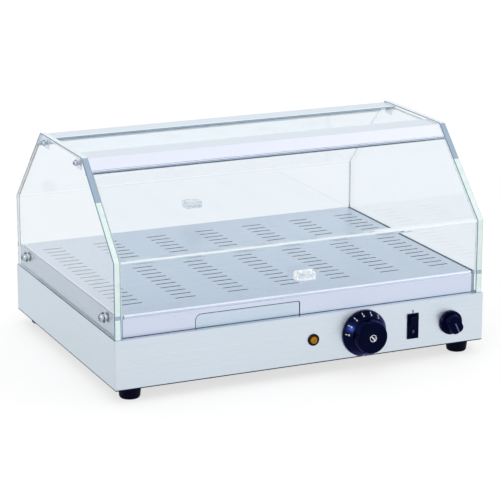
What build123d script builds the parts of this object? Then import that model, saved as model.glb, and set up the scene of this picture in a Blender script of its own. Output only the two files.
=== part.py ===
from build123d import *
import os
from math import cos, hypot, radians, sin, sqrt, tan

# Heated display case, in millimetres.
# The origin is on the counter under the middle of the case. +X is to the right seen from the
# controls, -Y is towards the controls and +Z is up. Front pieces are on the side of the controls.
# A rear piece that is alike is the front one turned half round.

os.makedirs("parts", exist_ok=True)

# Overall sizes of the case
case_width = 480.0
case_depth = 356.0
foot_height = 16.0
base_height = 60.0
fold_height = 151.0  # underside of the base to the folds
case_height = 252.0  # underside of the base to the top of the end panels
slope_run = 101.0  # how far the slopes lean inwards

# Base walls and bottom plate
steel = 1.0
base_corner_radius = 1.5
base_corner_wrap = 5.0
bottom_flange = 14.0
bottom_plate_thickness = 1.0
bottom_plate_gap = 0.5
front_ledge = 62.0
rear_ledge = 22.0
side_ledge = 24.0
upstand_height = 27.0
upstand_return = 3.0
vent_length = 30.0
vent_width = 3.0
vent_pitch = 8.0
vent_columns, vent_rows = 2, 5

# Feet
foot_top_radius = 14.0
foot_bottom_radius = 12.0
foot_side_setback = 24.5
foot_end_setback = 20.0
foot_edge_radius = 2.5
foot_recess_radius = 5.5
foot_web = 6.0

# Fasteners: shank radius, head radius and head height
small_shank, small_head, small_head_height = 2.0, 3.5, 2.3
large_shank, large_head, large_head_height = 3.0, 5.0, 1.8
hole_clearance = 0.2
small_nut_flats, small_nut_height = 7.0, 3.0
large_nut_flats, large_nut_height = 10.0, 4.0
nut_edge_chamfer = 0.4
washer_radius = 6.3
washer_thickness = 1.0
thread_past_nut = 1.0

# End panels and their bolts
panel_thickness = 8.0
panel_side_inset = 1.0
panel_end_inset = 3.0
panel_top_radius = 6.0
panel_fold_radius = 3.0
panel_edge_chamfer = 0.8
panel_seat_gap = 0.1  # to the base, the upstands and the rails
bolt_end_setback = 38.0
bolt_rise = 18.0

# Top rails and top panel
rail_sheet = 1.2
rail_recess = 1.5
rail_top_flange = 31.0
rail_slope_flange = 18.0
rail_bend_radius = 2.5
rail_tab_width = 18.0
rail_tab_below_screw = 7.0
rail_screw_inset = 16.0  # from the top corner of the end panel
rail_screw_clearance = 0.3  # from the screw's head to the top panel
top_panel_thickness = 3.0
top_panel_lap = 15.0
top_panel_end_gap = 0.3
top_panel_bond = 0.1

# Doors, handles and hinge rods
door_thickness = 4.0
door_recess = 0.3
door_end_gap = 1.0
door_bottom_height = 84.0  # above the underside of the base
door_fold_radius = 10.0
hinge_rod_radius = 2.0
hinge_gap = 3.5  # from the rail's lower edge to the rod's axis
hinge_lip = 1.0  # from the rod's axis to the door's top edge
hinge_hole_clearance = 0.05
hinge_hole_depth = 5.5
hinge_rod_end = 5.0
handle_width = 22.0
handle_height = 9.0
handle_reach = 16.0
handle_center_height = 112.0
handle_offset = 4.0
handle_bond = 0.1
handle_edge_radius = 1.5

# Deck
deck_sheet = 1.0
deck_height = 27.5
deck_seat_gap = 0.3
deck_side_gap = 3.5
deck_door_gap = 0.5
deck_bend_radius = 2.5
deck_relief_radius = 1.6
slot_length = 26.0
slot_width = 2.4
slot_columns = 7
slot_rows = 18
slot_column_pitch = 67.2
slot_row_pitch = 15.35
notch_width = 134.0
notch_height = 17.5
notch_center_x = -71.0
notch_left_radius = 8.0
notch_right_radius = 3.0

# Drip tray and its runners
tray_sheet = 0.8
tray_width = 120.0
tray_depth = 200.0
tray_height = 12.0
tray_corner_radius = 6.0
tray_face_gap = 1.0
tray_face_recess = 0.6
tray_face_lift = 0.6
runner_sheet = 1.0
runner_foot = 8.0
runner_web = 9.0
runner_gap = 0.4

# Heater pan, elements, clips and insulation
pan_sheet = 0.8
pan_depth = 32.0
pan_rim = 8.0
pan_gap = 0.5
element_radius = 3.25
element_rise = 15.0  # above the pan's floor
element_leg_gap = 50.0  # between the two legs of one element
element_spacing = 130.0
element_turn_setback = 40.0
element_tail = 8.0
clip_sheet = 1.5
clip_foot = 9.0
clip_margin = 5.0
clip_spacing = 240.0
mat_margin = 10.0
mat_thickness = 12.0

# Controls on the front face, set back from the right end
control_height = 29.5
lamp_setback = 230.0
dial_setback = 163.0
rocker_setback = 97.0
selector_setback = 45.2
selector_drop = 1.8  # below the other controls
control_gap = 0.8  # between a turning knob and the panel

# Pilot lamp
bezel_radius = 7.3
bezel_height = 2.0
bezel_chamfer = 0.7
lens_radius = 4.5
lens_reach = 4.4
lamp_body_radius = 4.55
lamp_body_length = 24.0

# Thermostat and dial
dial_radius = 28.5
dial_rim = 2.5
dial_cone_radius = 21.6
dial_cone_top = 13.0
dial_grip_radius = 20.6
dial_reach = 24.5
dial_scallops = 5
dial_scallop_turn = -45.0  # degrees from +X, the first one
dial_scallop_radius = 7.0
dial_scallop_depth = 0.9
dial_hollow_radius = 22.0
dial_hollow_depth = 6.0
dial_hub_radius = 6.0
dial_edge_radius = 1.5
cap_radius = 4.6
cap_height = 2.8
cap_sunk = 2.0
cap_slot_width = 1.2
cap_slot_depth = 1.0
spindle_radius = 3.0
spindle_clearance = 0.05
spindle_depth = 10.0
spindle_hole_radius = 5.0
thermostat_width = 40.0
thermostat_height = 34.0
thermostat_depth = 30.0
thermostat_screw_spacing = 28.0
thermostat_screw_length = 8.0

# Rocker switch
frame_width = 15.0
frame_height = 31.5
frame_lip = 1.8
frame_edge_radius = 0.7
housing_width = 13.0
housing_height = 29.0
housing_depth = 22.0
housing_hole_gap = 0.1
rocker_pocket_width = 11.2
rocker_pocket_height = 27.4
rocker_pocket_depth = 7.0
rocker_width = 10.6
rocker_radius = 13.3
rocker_tilt = 9.5  # degrees to each side
rocker_crown = 1.9  # the rocker's middle stands this far out of its pivot
rocker_back = 4.0
rocker_pin_radius = 1.0
rocker_pin_reach = 0.6
rocker_pin_gap = 0.05

# Selector switch and knob
selector_disc_radius = 14.75
selector_disc_height = 3.2
selector_hub_radius = 11.0
selector_hub_height = 3.0
selector_lever_length = 23.0
selector_lever_width = 18.0
selector_lever_taper = 4.0  # degrees
selector_edge_radius = 1.2
selector_reach = 15.5
selector_turn = -64.0  # degrees from +X, where the lever points
selector_hollow_radius = 8.6
selector_hollow_depth = 2.6
selector_bush_radius = 4.5
selector_bush_reach = 2.8
selector_nut_flats = 13.0
selector_nut_height = 2.0
selector_body_size = 28.0
selector_body_depth = 24.0
selector_spindle_reach = 11.0

# Sensor, terminal block, earth stud, wiring and cord gland
bulb_radius = 3.0
bulb_length = 70.0
bulb_drop = 6.0  # below the top of the base
bulb_setback = 10.0  # from the pan's front wall
bulb_clip_spacing = 40.0
bulb_clip_width = 10.0
bulb_clip_margin = 1.5
bulb_end_radius = 1.0
capillary_radius = 0.8
capillary_bend = 4.0
block_width = 46.0
block_depth = 18.0
block_height = 20.0
block_chamfer = 2.0
block_setback = 90.0  # from the left end
block_ways = 4
block_well_radius = 2.8
block_well_depth = 6.0
wire_radius = 1.2
wire_bend = 8.0
wire_rise = 12.0  # above the bottom plate
stud_setback = 120.0  # from the left end
gland_setback = 90.0  # from the left end
gland_flats = 20.0
gland_hex_height = 9.0
gland_dome_radius = 9.6
gland_reach = 25.3
gland_bore_radius = 4.0
gland_thread_radius = 7.5
gland_thread_length = 10.0
gland_nut_flats = 19.0
gland_nut_height = 5.0

# Places worked out from the sizes
half_width = case_width / 2
half_depth = case_depth / 2
base_bottom = foot_height
base_top = base_bottom + base_height
fold_level = base_bottom + fold_height
top_level = base_bottom + case_height
control_level = base_bottom + control_height
selector_level = control_level - selector_drop
lamp_x = half_width - lamp_setback
dial_x = half_width - dial_setback
rocker_x = half_width - rocker_setback
selector_x = half_width - selector_setback
plate_top = base_bottom + bottom_plate_thickness

panel_outer = half_width - panel_side_inset
panel_inner = panel_outer - panel_thickness
upstand_face = panel_inner - panel_seat_gap
panel_edge = half_depth - panel_end_inset
slope_rise = top_level - fold_level
slope_length = hypot(slope_run, slope_rise)

door_inner_face = panel_edge - door_recess - door_thickness
skirt_face = door_inner_face - deck_door_gap
deck_half_width = panel_inner - deck_side_gap
deck_top = base_top + deck_height

opening_width = case_width - 2 * side_ledge
opening_depth = case_depth - front_ledge - rear_ledge
opening_y = (front_ledge - rear_ledge) / 2
pan_width = opening_width - 2 * pan_gap
pan_length = opening_depth - 2 * pan_gap
pan_front = opening_y - pan_length / 2
pan_bottom = base_top - pan_depth
pan_floor = pan_bottom + pan_sheet
element_level = pan_floor + element_rise
bulb_level = base_top - bulb_drop

bolt_y = half_depth - bolt_end_setback
bolt_level = base_top + bolt_rise
rail_screw_y = panel_edge - slope_run - rail_screw_inset
rail_underside = top_level - rail_recess - rail_sheet
top_panel_underside = rail_underside - top_panel_bond - top_panel_thickness
rail_screw_level = top_panel_underside - rail_screw_clearance - small_head


def save(piece, node):
    piece.part.label = node
    export_step(piece.part, "parts/" + node + ".step")


def slope_point(down, depth):
    """Front point (y, z) that far down the slope from the top corner, and that deep in it."""
    y = panel_edge - slope_run + (down * slope_run - depth * slope_rise) / slope_length
    z = top_level - (down * slope_rise + depth * slope_run) / slope_length
    return (-y, z)


def fold_corner(depth):
    """Front point (y, z) where the slope and the upright meet, at that depth in both."""
    return (depth - panel_edge, fold_level - depth * (slope_length - slope_rise) / slope_run)


def top_corner(depth):
    """Front point (y, z) where the slope and the top meet, at that depth in both."""
    y = panel_edge - slope_run - depth * (slope_length - slope_run) / slope_rise
    return (-y, top_level - depth)


def bent_sheet(points, bend_radius, thickness, side):
    """Section of a folded sheet: its outer line, and its wall on that side of the line."""
    with BuildSketch(Plane.YZ) as section:
        with BuildLine():
            FilletPolyline(*points, radius=bend_radius)
            offset(amount=thickness, side=side)
        make_face()
    return section


def control_face(x, out=0.0):
    """Plane on the front face at a control, facing the user, that far in front of the face."""
    return Plane(origin=(x, -half_depth - out, control_level), x_dir=(1, 0, 0), z_dir=(0, -1, 0))


def selector_face(out=0.0):
    """The same plane at the selector."""
    return Plane(origin=(selector_x, -half_depth - out, selector_level), x_dir=(1, 0, 0), z_dir=(0, -1, 0))


def control_section(x):
    """Plane through a control's axis: its x is the radius and its y points at the user."""
    return Plane(origin=(x, -half_depth, control_level), x_dir=(1, 0, 0), z_dir=(0, 0, -1))


def control_axis(x):
    return Axis((x, -half_depth, control_level), (0, -1, 0))


def side_places(out, y, z):
    """Four places on the end panels, out from the middle, with their z axis pointing outwards."""
    right = [Plane(origin=(out, s * y, z), z_dir=(1, 0, 0)) for s in (-1, 1)]
    left = [Plane(origin=(-out, s * y, z), z_dir=(-1, 0, 0)) for s in (-1, 1)]
    return right + left


def corner_points(x, y):
    return [(i * x, j * y) for i in (-1, 1) for j in (-1, 1)]


def make_screw(shank, head, head_height, length):
    """Round-headed screw: its head is above the origin and its shank is below."""
    with BuildPart() as screw:
        with BuildSketch():
            Circle(head)
        extrude(amount=head_height)
        fillet(screw.edges().sort_by(Axis.Z)[-1], head_height / 2)
        with BuildSketch(Plane.XY.offset(head_height)):
            Rectangle(head * 1.2, head * 0.22)
            Rectangle(head * 0.22, head * 1.2)
        extrude(amount=-head_height / 2, mode=Mode.SUBTRACT)
        with BuildSketch():
            Circle(shank)
        extrude(amount=-length)
    return screw


def make_nut(flats, height, bore):
    with BuildPart() as nut:
        with BuildSketch():
            RegularPolygon(flats / sqrt(3), 6)
            Circle(bore, mode=Mode.SUBTRACT)
        extrude(amount=height)
    return nut


def make_dome_nut(flats, height, bore, bore_depth):
    """Closed nut: a hexagon with a round dome over it, standing on the origin."""
    dome = flats / 2 - nut_edge_chamfer
    with BuildPart() as nut:
        with BuildSketch():
            RegularPolygon(flats / sqrt(3), 6)
        extrude(amount=height)
        chamfer(nut.faces().sort_by(Axis.Z)[-1].edges(), nut_edge_chamfer)
        with BuildSketch(Plane.XZ):
            with BuildLine():
                Polyline((dome, height), (dome, height / 2), (0, height / 2), (0, height + dome))
                CenterArc((0, height), dome, 0, 90)
            make_face()
        revolve(axis=Axis.Z)
        with BuildSketch():
            Circle(bore)
        extrude(amount=bore_depth, mode=Mode.SUBTRACT)
    return nut


def set_at(piece, places):
    """Copies of a piece at several places, as one group of separate solids."""
    with BuildPart() as group:
        with Locations(*places):
            add(piece.part)
    return group


def turned_round(piece):
    """The rear piece that is the front one turned half round."""
    with BuildPart() as rear:
        add(piece.part, rotation=(0, 0, 180))
    return rear


bottom_screw_points = corner_points(half_width / 2, half_depth - steel - bottom_flange / 2)
bottom_screw_points += [(-half_width + steel + bottom_flange / 2, 0)]
bottom_screw_points += [(half_width - steel - bottom_flange / 2, 0)]


def make_long_wall(ledge):
    """Front wall of the base: a folded sheet with a ledge, a bottom flange and a wrap at each end."""
    with BuildPart() as wall:
        with BuildSketch(Plane.XY.offset(base_bottom)):
            with Locations((0, -half_depth)):
                Rectangle(case_width, base_corner_wrap, align=(Align.CENTER, Align.MIN))
        extrude(amount=base_height)
        outer_corners = wall.edges().filter_by(Axis.Z).group_by(Axis.Y)[0]
        fillet(outer_corners, base_corner_radius)
        with BuildSketch(Plane.XY.offset(base_bottom)):
            with Locations((0, steel - half_depth)):
                Rectangle(
                    case_width - 2 * steel, base_corner_wrap, align=(Align.CENTER, Align.MIN)
                )
        extrude(amount=base_height, mode=Mode.SUBTRACT)
        with BuildSketch(Plane.YZ):
            with Locations((-half_depth + steel / 2, base_top)):
                Rectangle(ledge - steel / 2, steel, align=(Align.MIN, Align.MAX))
            with Locations((-half_depth + steel / 2, plate_top)):
                Rectangle(bottom_flange - steel / 2, steel, align=(Align.MIN, Align.MIN))
        extrude(amount=half_width - steel, both=True)
        with BuildSketch(Plane.XY.offset(plate_top)):
            with Locations(*bottom_screw_points):
                Circle(small_shank)
        extrude(amount=steel, mode=Mode.SUBTRACT)
    return wall


# Front wall of the base, with the holes of the controls
with BuildPart() as front_wall:
    add(make_long_wall(front_ledge).part)
    with BuildSketch(control_face(0)):
        with Locations((lamp_x, 0)):
            Circle(lamp_body_radius + hole_clearance)
        with Locations((dial_x, 0)):
            Circle(spindle_hole_radius)
            with Locations((-thermostat_screw_spacing / 2, 0), (thermostat_screw_spacing / 2, 0)):
                Circle(small_shank + hole_clearance)
        with Locations((rocker_x, 0)):
            Rectangle(housing_width + 2 * housing_hole_gap, housing_height + 2 * housing_hole_gap)
        with Locations((selector_x, -selector_drop)):
            Circle(selector_bush_radius + hole_clearance)
    extrude(amount=-steel, mode=Mode.SUBTRACT)
save(front_wall, "front_wall")

# Rear wall of the base, with the hole of the cord gland
gland_x = gland_setback - half_width
with BuildPart() as rear_wall:
    add(make_long_wall(rear_ledge).part, rotation=(0, 0, 180))
    with BuildSketch(Plane.XZ.offset(-half_depth)):
        with Locations((gland_x, control_level)):
            Circle(gland_thread_radius + hole_clearance)
    extrude(amount=steel, mode=Mode.SUBTRACT)
save(rear_wall, "rear_wall")

# Side walls of the base, with a ledge, a bottom flange and an upstand for the end panel
side_wall_length = case_depth - 2 * base_corner_wrap
with BuildPart() as right_wall:
    with BuildSketch(Plane.XY.offset(base_bottom)):
        with Locations((half_width, 0)):
            Rectangle(steel, side_wall_length, align=(Align.MAX, Align.CENTER))
    extrude(amount=base_height)
    with BuildSketch(Plane.XY.offset(base_top)):
        with Locations((half_width, opening_y)):
            Rectangle(side_ledge, opening_depth, align=(Align.MAX, Align.CENTER))
    extrude(amount=-steel)
    with BuildSketch(Plane.XY.offset(plate_top)):
        with Locations((half_width, 0)):
            Rectangle(
                bottom_flange, case_depth - 2 * bottom_flange, align=(Align.MAX, Align.CENTER)
            )
    extrude(amount=steel)
    with BuildSketch(Plane.XY.offset(plate_top)):
        with Locations(*bottom_screw_points):
            Circle(small_shank)
    extrude(amount=steel, mode=Mode.SUBTRACT)
    with BuildSketch(Plane.XY.offset(base_top)):
        with Locations((upstand_face - steel / 2, 0)):
            Rectangle(steel, 2 * skirt_face)
        upstand_ends = corner_points(upstand_face - upstand_return / 2, skirt_face - steel / 2)
        with Locations(*upstand_ends[2:]):
            Rectangle(upstand_return, steel)
    extrude(amount=upstand_height)
    with BuildSketch(Plane.YZ):
        with Locations((-bolt_y, bolt_level), (bolt_y, bolt_level)):
            Circle(large_shank + hole_clearance)
    extrude(amount=half_width, mode=Mode.SUBTRACT)
save(right_wall, "right_wall")

with BuildPart() as left_wall:
    mirror(right_wall.part, about=Plane.YZ)
save(left_wall, "left_wall")

# Bottom plate, its screws and the feet
foot_points = corner_points(half_width - foot_side_setback, half_depth - foot_end_setback)
stud_x = stud_setback - half_width
stud_y = half_depth - rear_ledge
with BuildPart() as bottom_plate:
    with BuildSketch(Plane.XY.offset(base_bottom)):
        Rectangle(
            case_width - 2 * (steel + bottom_plate_gap), case_depth - 2 * (steel + bottom_plate_gap)
        )
    extrude(amount=bottom_plate_thickness)
    with BuildSketch(Plane.XY.offset(base_bottom)):
        with Locations(*bottom_screw_points, *foot_points, (stud_x, stud_y)):
            Circle(small_shank + hole_clearance)
        with Locations((dial_x, -half_depth + front_ledge / 2)):
            with GridLocations(vent_length + vent_pitch, vent_pitch, vent_columns, vent_rows):
                SlotOverall(vent_length, vent_width)
    extrude(amount=bottom_plate_thickness, mode=Mode.SUBTRACT)
save(bottom_plate, "bottom_plate")

plate_screw = make_screw(small_shank, small_head, small_head_height, bottom_plate_thickness + steel)
bottom_screw_places = [
    Plane(origin=(x, y, base_bottom), z_dir=(0, 0, -1)) for x, y in bottom_screw_points
]
bottom_screws = set_at(plate_screw, bottom_screw_places)
save(bottom_screws, "bottom_screws")

with BuildPart() as foot:
    with BuildSketch():
        Circle(foot_bottom_radius)
    with BuildSketch(Plane.XY.offset(foot_height)):
        Circle(foot_top_radius)
    loft()
    fillet(foot.edges().sort_by(Axis.Z)[0], foot_edge_radius)
    with BuildSketch():
        Circle(foot_recess_radius)
    extrude(amount=foot_height - foot_web, mode=Mode.SUBTRACT)
    with BuildSketch():
        Circle(small_shank + hole_clearance)
    extrude(amount=foot_height, mode=Mode.SUBTRACT)
feet = set_at(foot, [Location((x, y, 0)) for x, y in foot_points])
save(feet, "feet")

foot_screw_length = foot_web + bottom_plate_thickness + small_nut_height + thread_past_nut
foot_screw = make_screw(small_shank, small_head, small_head_height, foot_screw_length)
foot_screw_places = [
    Plane(origin=(x, y, foot_height - foot_web), z_dir=(0, 0, -1)) for x, y in foot_points
]
foot_screws = set_at(foot_screw, foot_screw_places)
save(foot_screws, "foot_screws")

foot_nut = make_nut(small_nut_flats, small_nut_height, small_shank)
foot_nuts = set_at(foot_nut, [Location((x, y, plate_top)) for x, y in foot_points])
save(foot_nuts, "foot_nuts")

# End panels
hinge_down = rail_slope_flange + hinge_gap
hinge_y, hinge_level = slope_point(hinge_down, door_recess + door_thickness / 2)
with BuildPart() as right_end_panel:
    with BuildSketch(Plane.YZ.offset(panel_inner)):
        with BuildLine():
            Polyline(
                (-panel_edge, base_top + panel_seat_gap),
                (-panel_edge, fold_level),
                (slope_run - panel_edge, top_level),
                (panel_edge - slope_run, top_level),
                (panel_edge, fold_level),
                (panel_edge, base_top + panel_seat_gap),
                close=True,
            )
        make_face()
    extrude(amount=panel_thickness)
    across = right_end_panel.edges().filter_by(Axis.X)
    fillet(across.group_by(Axis.Z)[-1], panel_top_radius)
    across = right_end_panel.edges().filter_by(Axis.X)
    fillet(across.group_by(Axis.Z)[1], panel_fold_radius)
    chamfer(right_end_panel.faces().filter_by(Axis.X).edges(), panel_edge_chamfer)
    with BuildSketch(Plane.YZ.offset(panel_inner)):
        with Locations((-bolt_y, bolt_level), (bolt_y, bolt_level)):
            Circle(large_shank + hole_clearance)
        with Locations((-rail_screw_y, rail_screw_level), (rail_screw_y, rail_screw_level)):
            Circle(small_shank + hole_clearance)
    extrude(amount=panel_thickness, mode=Mode.SUBTRACT)
    with BuildSketch(Plane.YZ.offset(panel_inner)):
        with Locations((hinge_y, hinge_level), (-hinge_y, hinge_level)):
            Circle(hinge_rod_radius + hinge_hole_clearance)
    extrude(amount=hinge_hole_depth, mode=Mode.SUBTRACT)
save(right_end_panel, "right_end_panel")

left_end_panel = turned_round(right_end_panel)
save(left_end_panel, "left_end_panel")

# Bolts, washers and dome nuts at the foot of the end panels
bolt_grip = steel + panel_seat_gap + panel_thickness + washer_thickness
panel_bolt = make_screw(
    large_shank, large_head, large_head_height, bolt_grip + large_nut_height + thread_past_nut
)
bolt_places = [
    Plane(origin=p.origin, z_dir=-p.z_dir) for p in side_places(upstand_face - steel, bolt_y, bolt_level)
]
end_panel_bolts = set_at(panel_bolt, bolt_places)
save(end_panel_bolts, "end_panel_bolts")

with BuildPart() as washer:
    with BuildSketch():
        Circle(washer_radius)
        Circle(large_shank + hole_clearance, mode=Mode.SUBTRACT)
    extrude(amount=washer_thickness)
end_panel_washers = set_at(washer, side_places(panel_outer, bolt_y, bolt_level))
save(end_panel_washers, "end_panel_washers")

panel_nut = make_dome_nut(
    large_nut_flats, large_nut_height, large_shank, large_nut_height + thread_past_nut
)
end_panel_nuts = set_at(panel_nut, side_places(panel_outer + washer_thickness, bolt_y, bolt_level))
save(end_panel_nuts, "end_panel_nuts")

# Top rails, with a tab at each end
rail_line = [
    (top_corner(rail_recess)[0] + rail_top_flange, top_level - rail_recess),
    top_corner(rail_recess),
    slope_point(rail_slope_flange, rail_recess),
]
rail_tab_bottom = rail_screw_level - rail_tab_below_screw
rail_section = bent_sheet(rail_line, rail_bend_radius, rail_sheet, Side.LEFT)
with BuildPart() as front_rail:
    extrude(rail_section.sketch, amount=upstand_face, both=True)
    with BuildSketch(Plane.YZ.offset(upstand_face - rail_sheet)):
        with Locations((-rail_screw_y, rail_tab_bottom)):
            Rectangle(
                rail_tab_width,
                rail_underside - rail_tab_bottom,
                align=(Align.CENTER, Align.MIN),
            )
            with Locations((0, rail_tab_below_screw)):
                Circle(small_shank + hole_clearance, mode=Mode.SUBTRACT)
    rail_tab = extrude(amount=rail_sheet)
    mirror(rail_tab, about=Plane.YZ)
save(front_rail, "front_rail")

rear_rail = turned_round(front_rail)
save(rear_rail, "rear_rail")

rail_screw = make_screw(
    small_shank,
    small_head,
    small_head_height,
    rail_sheet + panel_seat_gap + panel_thickness + small_nut_height + thread_past_nut,
)
rail_screw_places = [
    Plane(origin=p.origin, z_dir=-p.z_dir)
    for p in side_places(upstand_face - rail_sheet, rail_screw_y, rail_screw_level)
]
rail_screws = set_at(rail_screw, rail_screw_places)
save(rail_screws, "rail_screws")

rail_nut = make_dome_nut(
    small_nut_flats, small_nut_height, small_shank, small_nut_height + thread_past_nut
)
rail_nuts = set_at(rail_nut, side_places(panel_outer, rail_screw_y, rail_screw_level))
save(rail_nuts, "rail_nuts")

# Top panel, bonded under the rails' top flanges
with BuildPart() as top_panel:
    with BuildSketch(Plane.XY.offset(top_panel_underside)):
        Rectangle(
            2 * (upstand_face - rail_sheet - top_panel_end_gap),
            2 * (top_panel_lap - rail_line[0][0]),
        )
    extrude(amount=top_panel_thickness)
save(top_panel, "top_panel")

# Doors, each hung on a rod along its top edge
door_bottom = base_bottom + door_bottom_height
door_half_width = panel_inner - door_end_gap
door_line = [
    slope_point(hinge_down + hinge_lip, door_recess),
    fold_corner(door_recess),
    (door_recess - panel_edge, door_bottom),
]
door_section = bent_sheet(door_line, door_fold_radius, door_thickness, Side.LEFT)
with BuildPart() as front_door:
    extrude(door_section.sketch, amount=door_half_width, both=True)
    with BuildSketch(Plane.YZ):
        with Locations((hinge_y, hinge_level)):
            Circle(hinge_rod_radius)
    extrude(amount=half_width, both=True, mode=Mode.SUBTRACT)
save(front_door, "front_door")

rear_door = turned_round(front_door)
save(rear_door, "rear_door")

with BuildPart() as front_hinge_rod:
    with BuildSketch(Plane.YZ):
        with Locations((hinge_y, hinge_level)):
            Circle(hinge_rod_radius)
    extrude(amount=panel_inner + hinge_rod_end, both=True)
save(front_hinge_rod, "front_hinge_rod")

rear_hinge_rod = turned_round(front_hinge_rod)
save(rear_hinge_rod, "rear_hinge_rod")

with BuildPart() as front_handle:
    with BuildSketch(Plane.XZ.offset(panel_edge - door_recess + handle_bond)):
        with Locations((-handle_offset, base_bottom + handle_center_height)):
            Rectangle(handle_width, handle_height)
    extrude(amount=handle_reach)
    fillet(front_handle.faces().sort_by(Axis.Y)[0].edges(), handle_edge_radius)
save(front_handle, "front_handle")

rear_handle = turned_round(front_handle)
save(rear_handle, "rear_handle")

# Deck: an inverted pan with slots, and a notch in its front skirt for the drip tray
with BuildPart() as deck:
    with BuildSketch(Plane.XY.offset(base_top + deck_seat_gap)):
        Rectangle(2 * deck_half_width, 2 * skirt_face)
    extrude(amount=deck_height - deck_seat_gap)
    fillet(deck.faces().sort_by(Axis.Z)[-1].edges(), deck_bend_radius)
    offset(amount=-deck_sheet, openings=deck.faces().sort_by(Axis.Z)[0])
    with BuildSketch(Plane.XY.offset(deck_top)):
        with GridLocations(slot_column_pitch, slot_row_pitch, slot_columns, slot_rows):
            SlotOverall(slot_length, slot_width)
    extrude(amount=-2 * deck_sheet, mode=Mode.SUBTRACT)
    with BuildSketch(Plane.XY.offset(deck_top)):
        with Locations(*corner_points(deck_half_width, skirt_face)):
            Circle(deck_relief_radius)
    extrude(amount=-deck_bend_radius - deck_sheet, mode=Mode.SUBTRACT)
    with BuildSketch(Plane.XZ.offset(skirt_face)) as notch:
        with Locations((notch_center_x, base_top)):
            Rectangle(notch_width, notch_height, align=(Align.CENTER, Align.MIN))
        upper = notch.vertices().group_by(Axis.Y)[-1].sort_by(Axis.X)
        fillet(upper[0], notch_left_radius)
        upper = notch.vertices().group_by(Axis.Y)[-1].sort_by(Axis.X)
        fillet(upper[-1], notch_right_radius)
    extrude(amount=-2 * deck_sheet, mode=Mode.SUBTRACT)
save(deck, "deck")

# Tray runners, lying on the heater pan's rim from behind the tray's face to the back
tray_front = tray_face_recess - skirt_face
runner_bottom = base_top + pan_sheet
runner_inner = tray_width / 2 + runner_gap
runner_front = tray_front + tray_sheet + runner_gap
runner_length = opening_y + opening_depth / 2 + pan_rim - runner_front
with BuildPart() as tray_runners:
    with BuildSketch(Plane.XZ.offset(-runner_front)):
        with Locations((notch_center_x + runner_inner - runner_foot, runner_bottom)):
            Rectangle(runner_foot + runner_sheet, runner_sheet, align=(Align.MIN, Align.MIN))
        with Locations((notch_center_x + runner_inner, runner_bottom)):
            Rectangle(runner_sheet, runner_web, align=(Align.MIN, Align.MIN))
    right_runner = extrude(amount=-runner_length)
    mirror(right_runner, about=Plane.YZ.offset(notch_center_x))
save(tray_runners, "tray_runners")

# Drip tray, with a face that fills the deck's notch
tray_bottom = runner_bottom + runner_sheet + runner_gap
with BuildPart() as drip_tray:
    with BuildSketch(Plane.XY.offset(tray_bottom)) as tray_plan:
        with Locations((notch_center_x, tray_front)):
            Rectangle(tray_width, tray_depth, align=(Align.CENTER, Align.MIN))
        fillet(tray_plan.vertices().group_by(Axis.Y)[-1], tray_corner_radius)
    extrude(amount=tray_height)
    offset(amount=-tray_sheet, openings=drip_tray.faces().sort_by(Axis.Z)[-1])
    with BuildSketch(Plane.XZ.offset(-tray_front)) as tray_face:
        with Locations((notch_center_x, base_top + tray_face_lift)):
            Rectangle(
                notch_width - 2 * tray_face_gap,
                notch_height - tray_face_gap - tray_face_lift,
                align=(Align.CENTER, Align.MIN),
            )
        upper = tray_face.vertices().group_by(Axis.Y)[-1].sort_by(Axis.X)
        fillet(upper[0], notch_left_radius - tray_face_gap)
        upper = tray_face.vertices().group_by(Axis.Y)[-1].sort_by(Axis.X)
        fillet(upper[-1], notch_right_radius - tray_face_gap)
    extrude(amount=-tray_sheet)
save(drip_tray, "drip_tray")

# Heater pan, hung by its rim from the base's ledges
element_tail_x = pan_width / 2 + element_tail
element_centers = (opening_y - element_spacing / 2, opening_y + element_spacing / 2)
element_legs = [y + s * element_leg_gap / 2 for y in element_centers for s in (-1, 1)]
with BuildPart() as heater_pan:
    with BuildSketch(Plane.XY.offset(base_top)):
        with Locations((0, opening_y)):
            Rectangle(opening_width + 2 * pan_rim, opening_depth + 2 * pan_rim)
    extrude(amount=pan_sheet)
    with BuildSketch(Plane.XY.offset(pan_bottom)):
        with Locations((0, opening_y)):
            Rectangle(pan_width, pan_length)
    extrude(amount=pan_depth)
    with BuildSketch(Plane.XY.offset(pan_floor)):
        with Locations((0, opening_y)):
            Rectangle(pan_width - 2 * pan_sheet, pan_length - 2 * pan_sheet)
    extrude(amount=pan_depth, mode=Mode.SUBTRACT)
    with BuildSketch(Plane.YZ):
        with Locations(*[(y, element_level) for y in element_legs]):
            Circle(element_radius + hole_clearance)
    extrude(amount=half_width, mode=Mode.SUBTRACT)
    with BuildSketch(Plane.XZ.offset(-pan_front)):
        with Locations((dial_x, bulb_level)):
            Circle(capillary_radius + hole_clearance)
    extrude(amount=-2 * pan_sheet, mode=Mode.SUBTRACT)
save(heater_pan, "heater_pan")


def make_element(center_y):
    """Hairpin tube lying in the pan, with both tails through the pan's right wall."""
    turn_x = element_turn_setback - pan_width / 2
    turn_radius = element_leg_gap / 2
    with BuildPart() as element:
        with BuildLine():
            Line((element_tail_x, center_y - turn_radius, element_level),
                 (turn_x, center_y - turn_radius, element_level))
            ThreePointArc((turn_x, center_y - turn_radius, element_level),
                          (turn_x - turn_radius, center_y, element_level),
                          (turn_x, center_y + turn_radius, element_level))
            Line((turn_x, center_y + turn_radius, element_level),
                 (element_tail_x, center_y + turn_radius, element_level))
        start = (element_tail_x, center_y - turn_radius, element_level)
        with BuildSketch(Plane(origin=start, z_dir=(-1, 0, 0))):
            Circle(element_radius)
        sweep()
    return element


front_element = make_element(element_centers[0])
save(front_element, "front_element")
rear_element = make_element(element_centers[1])
save(rear_element, "rear_element")

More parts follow.
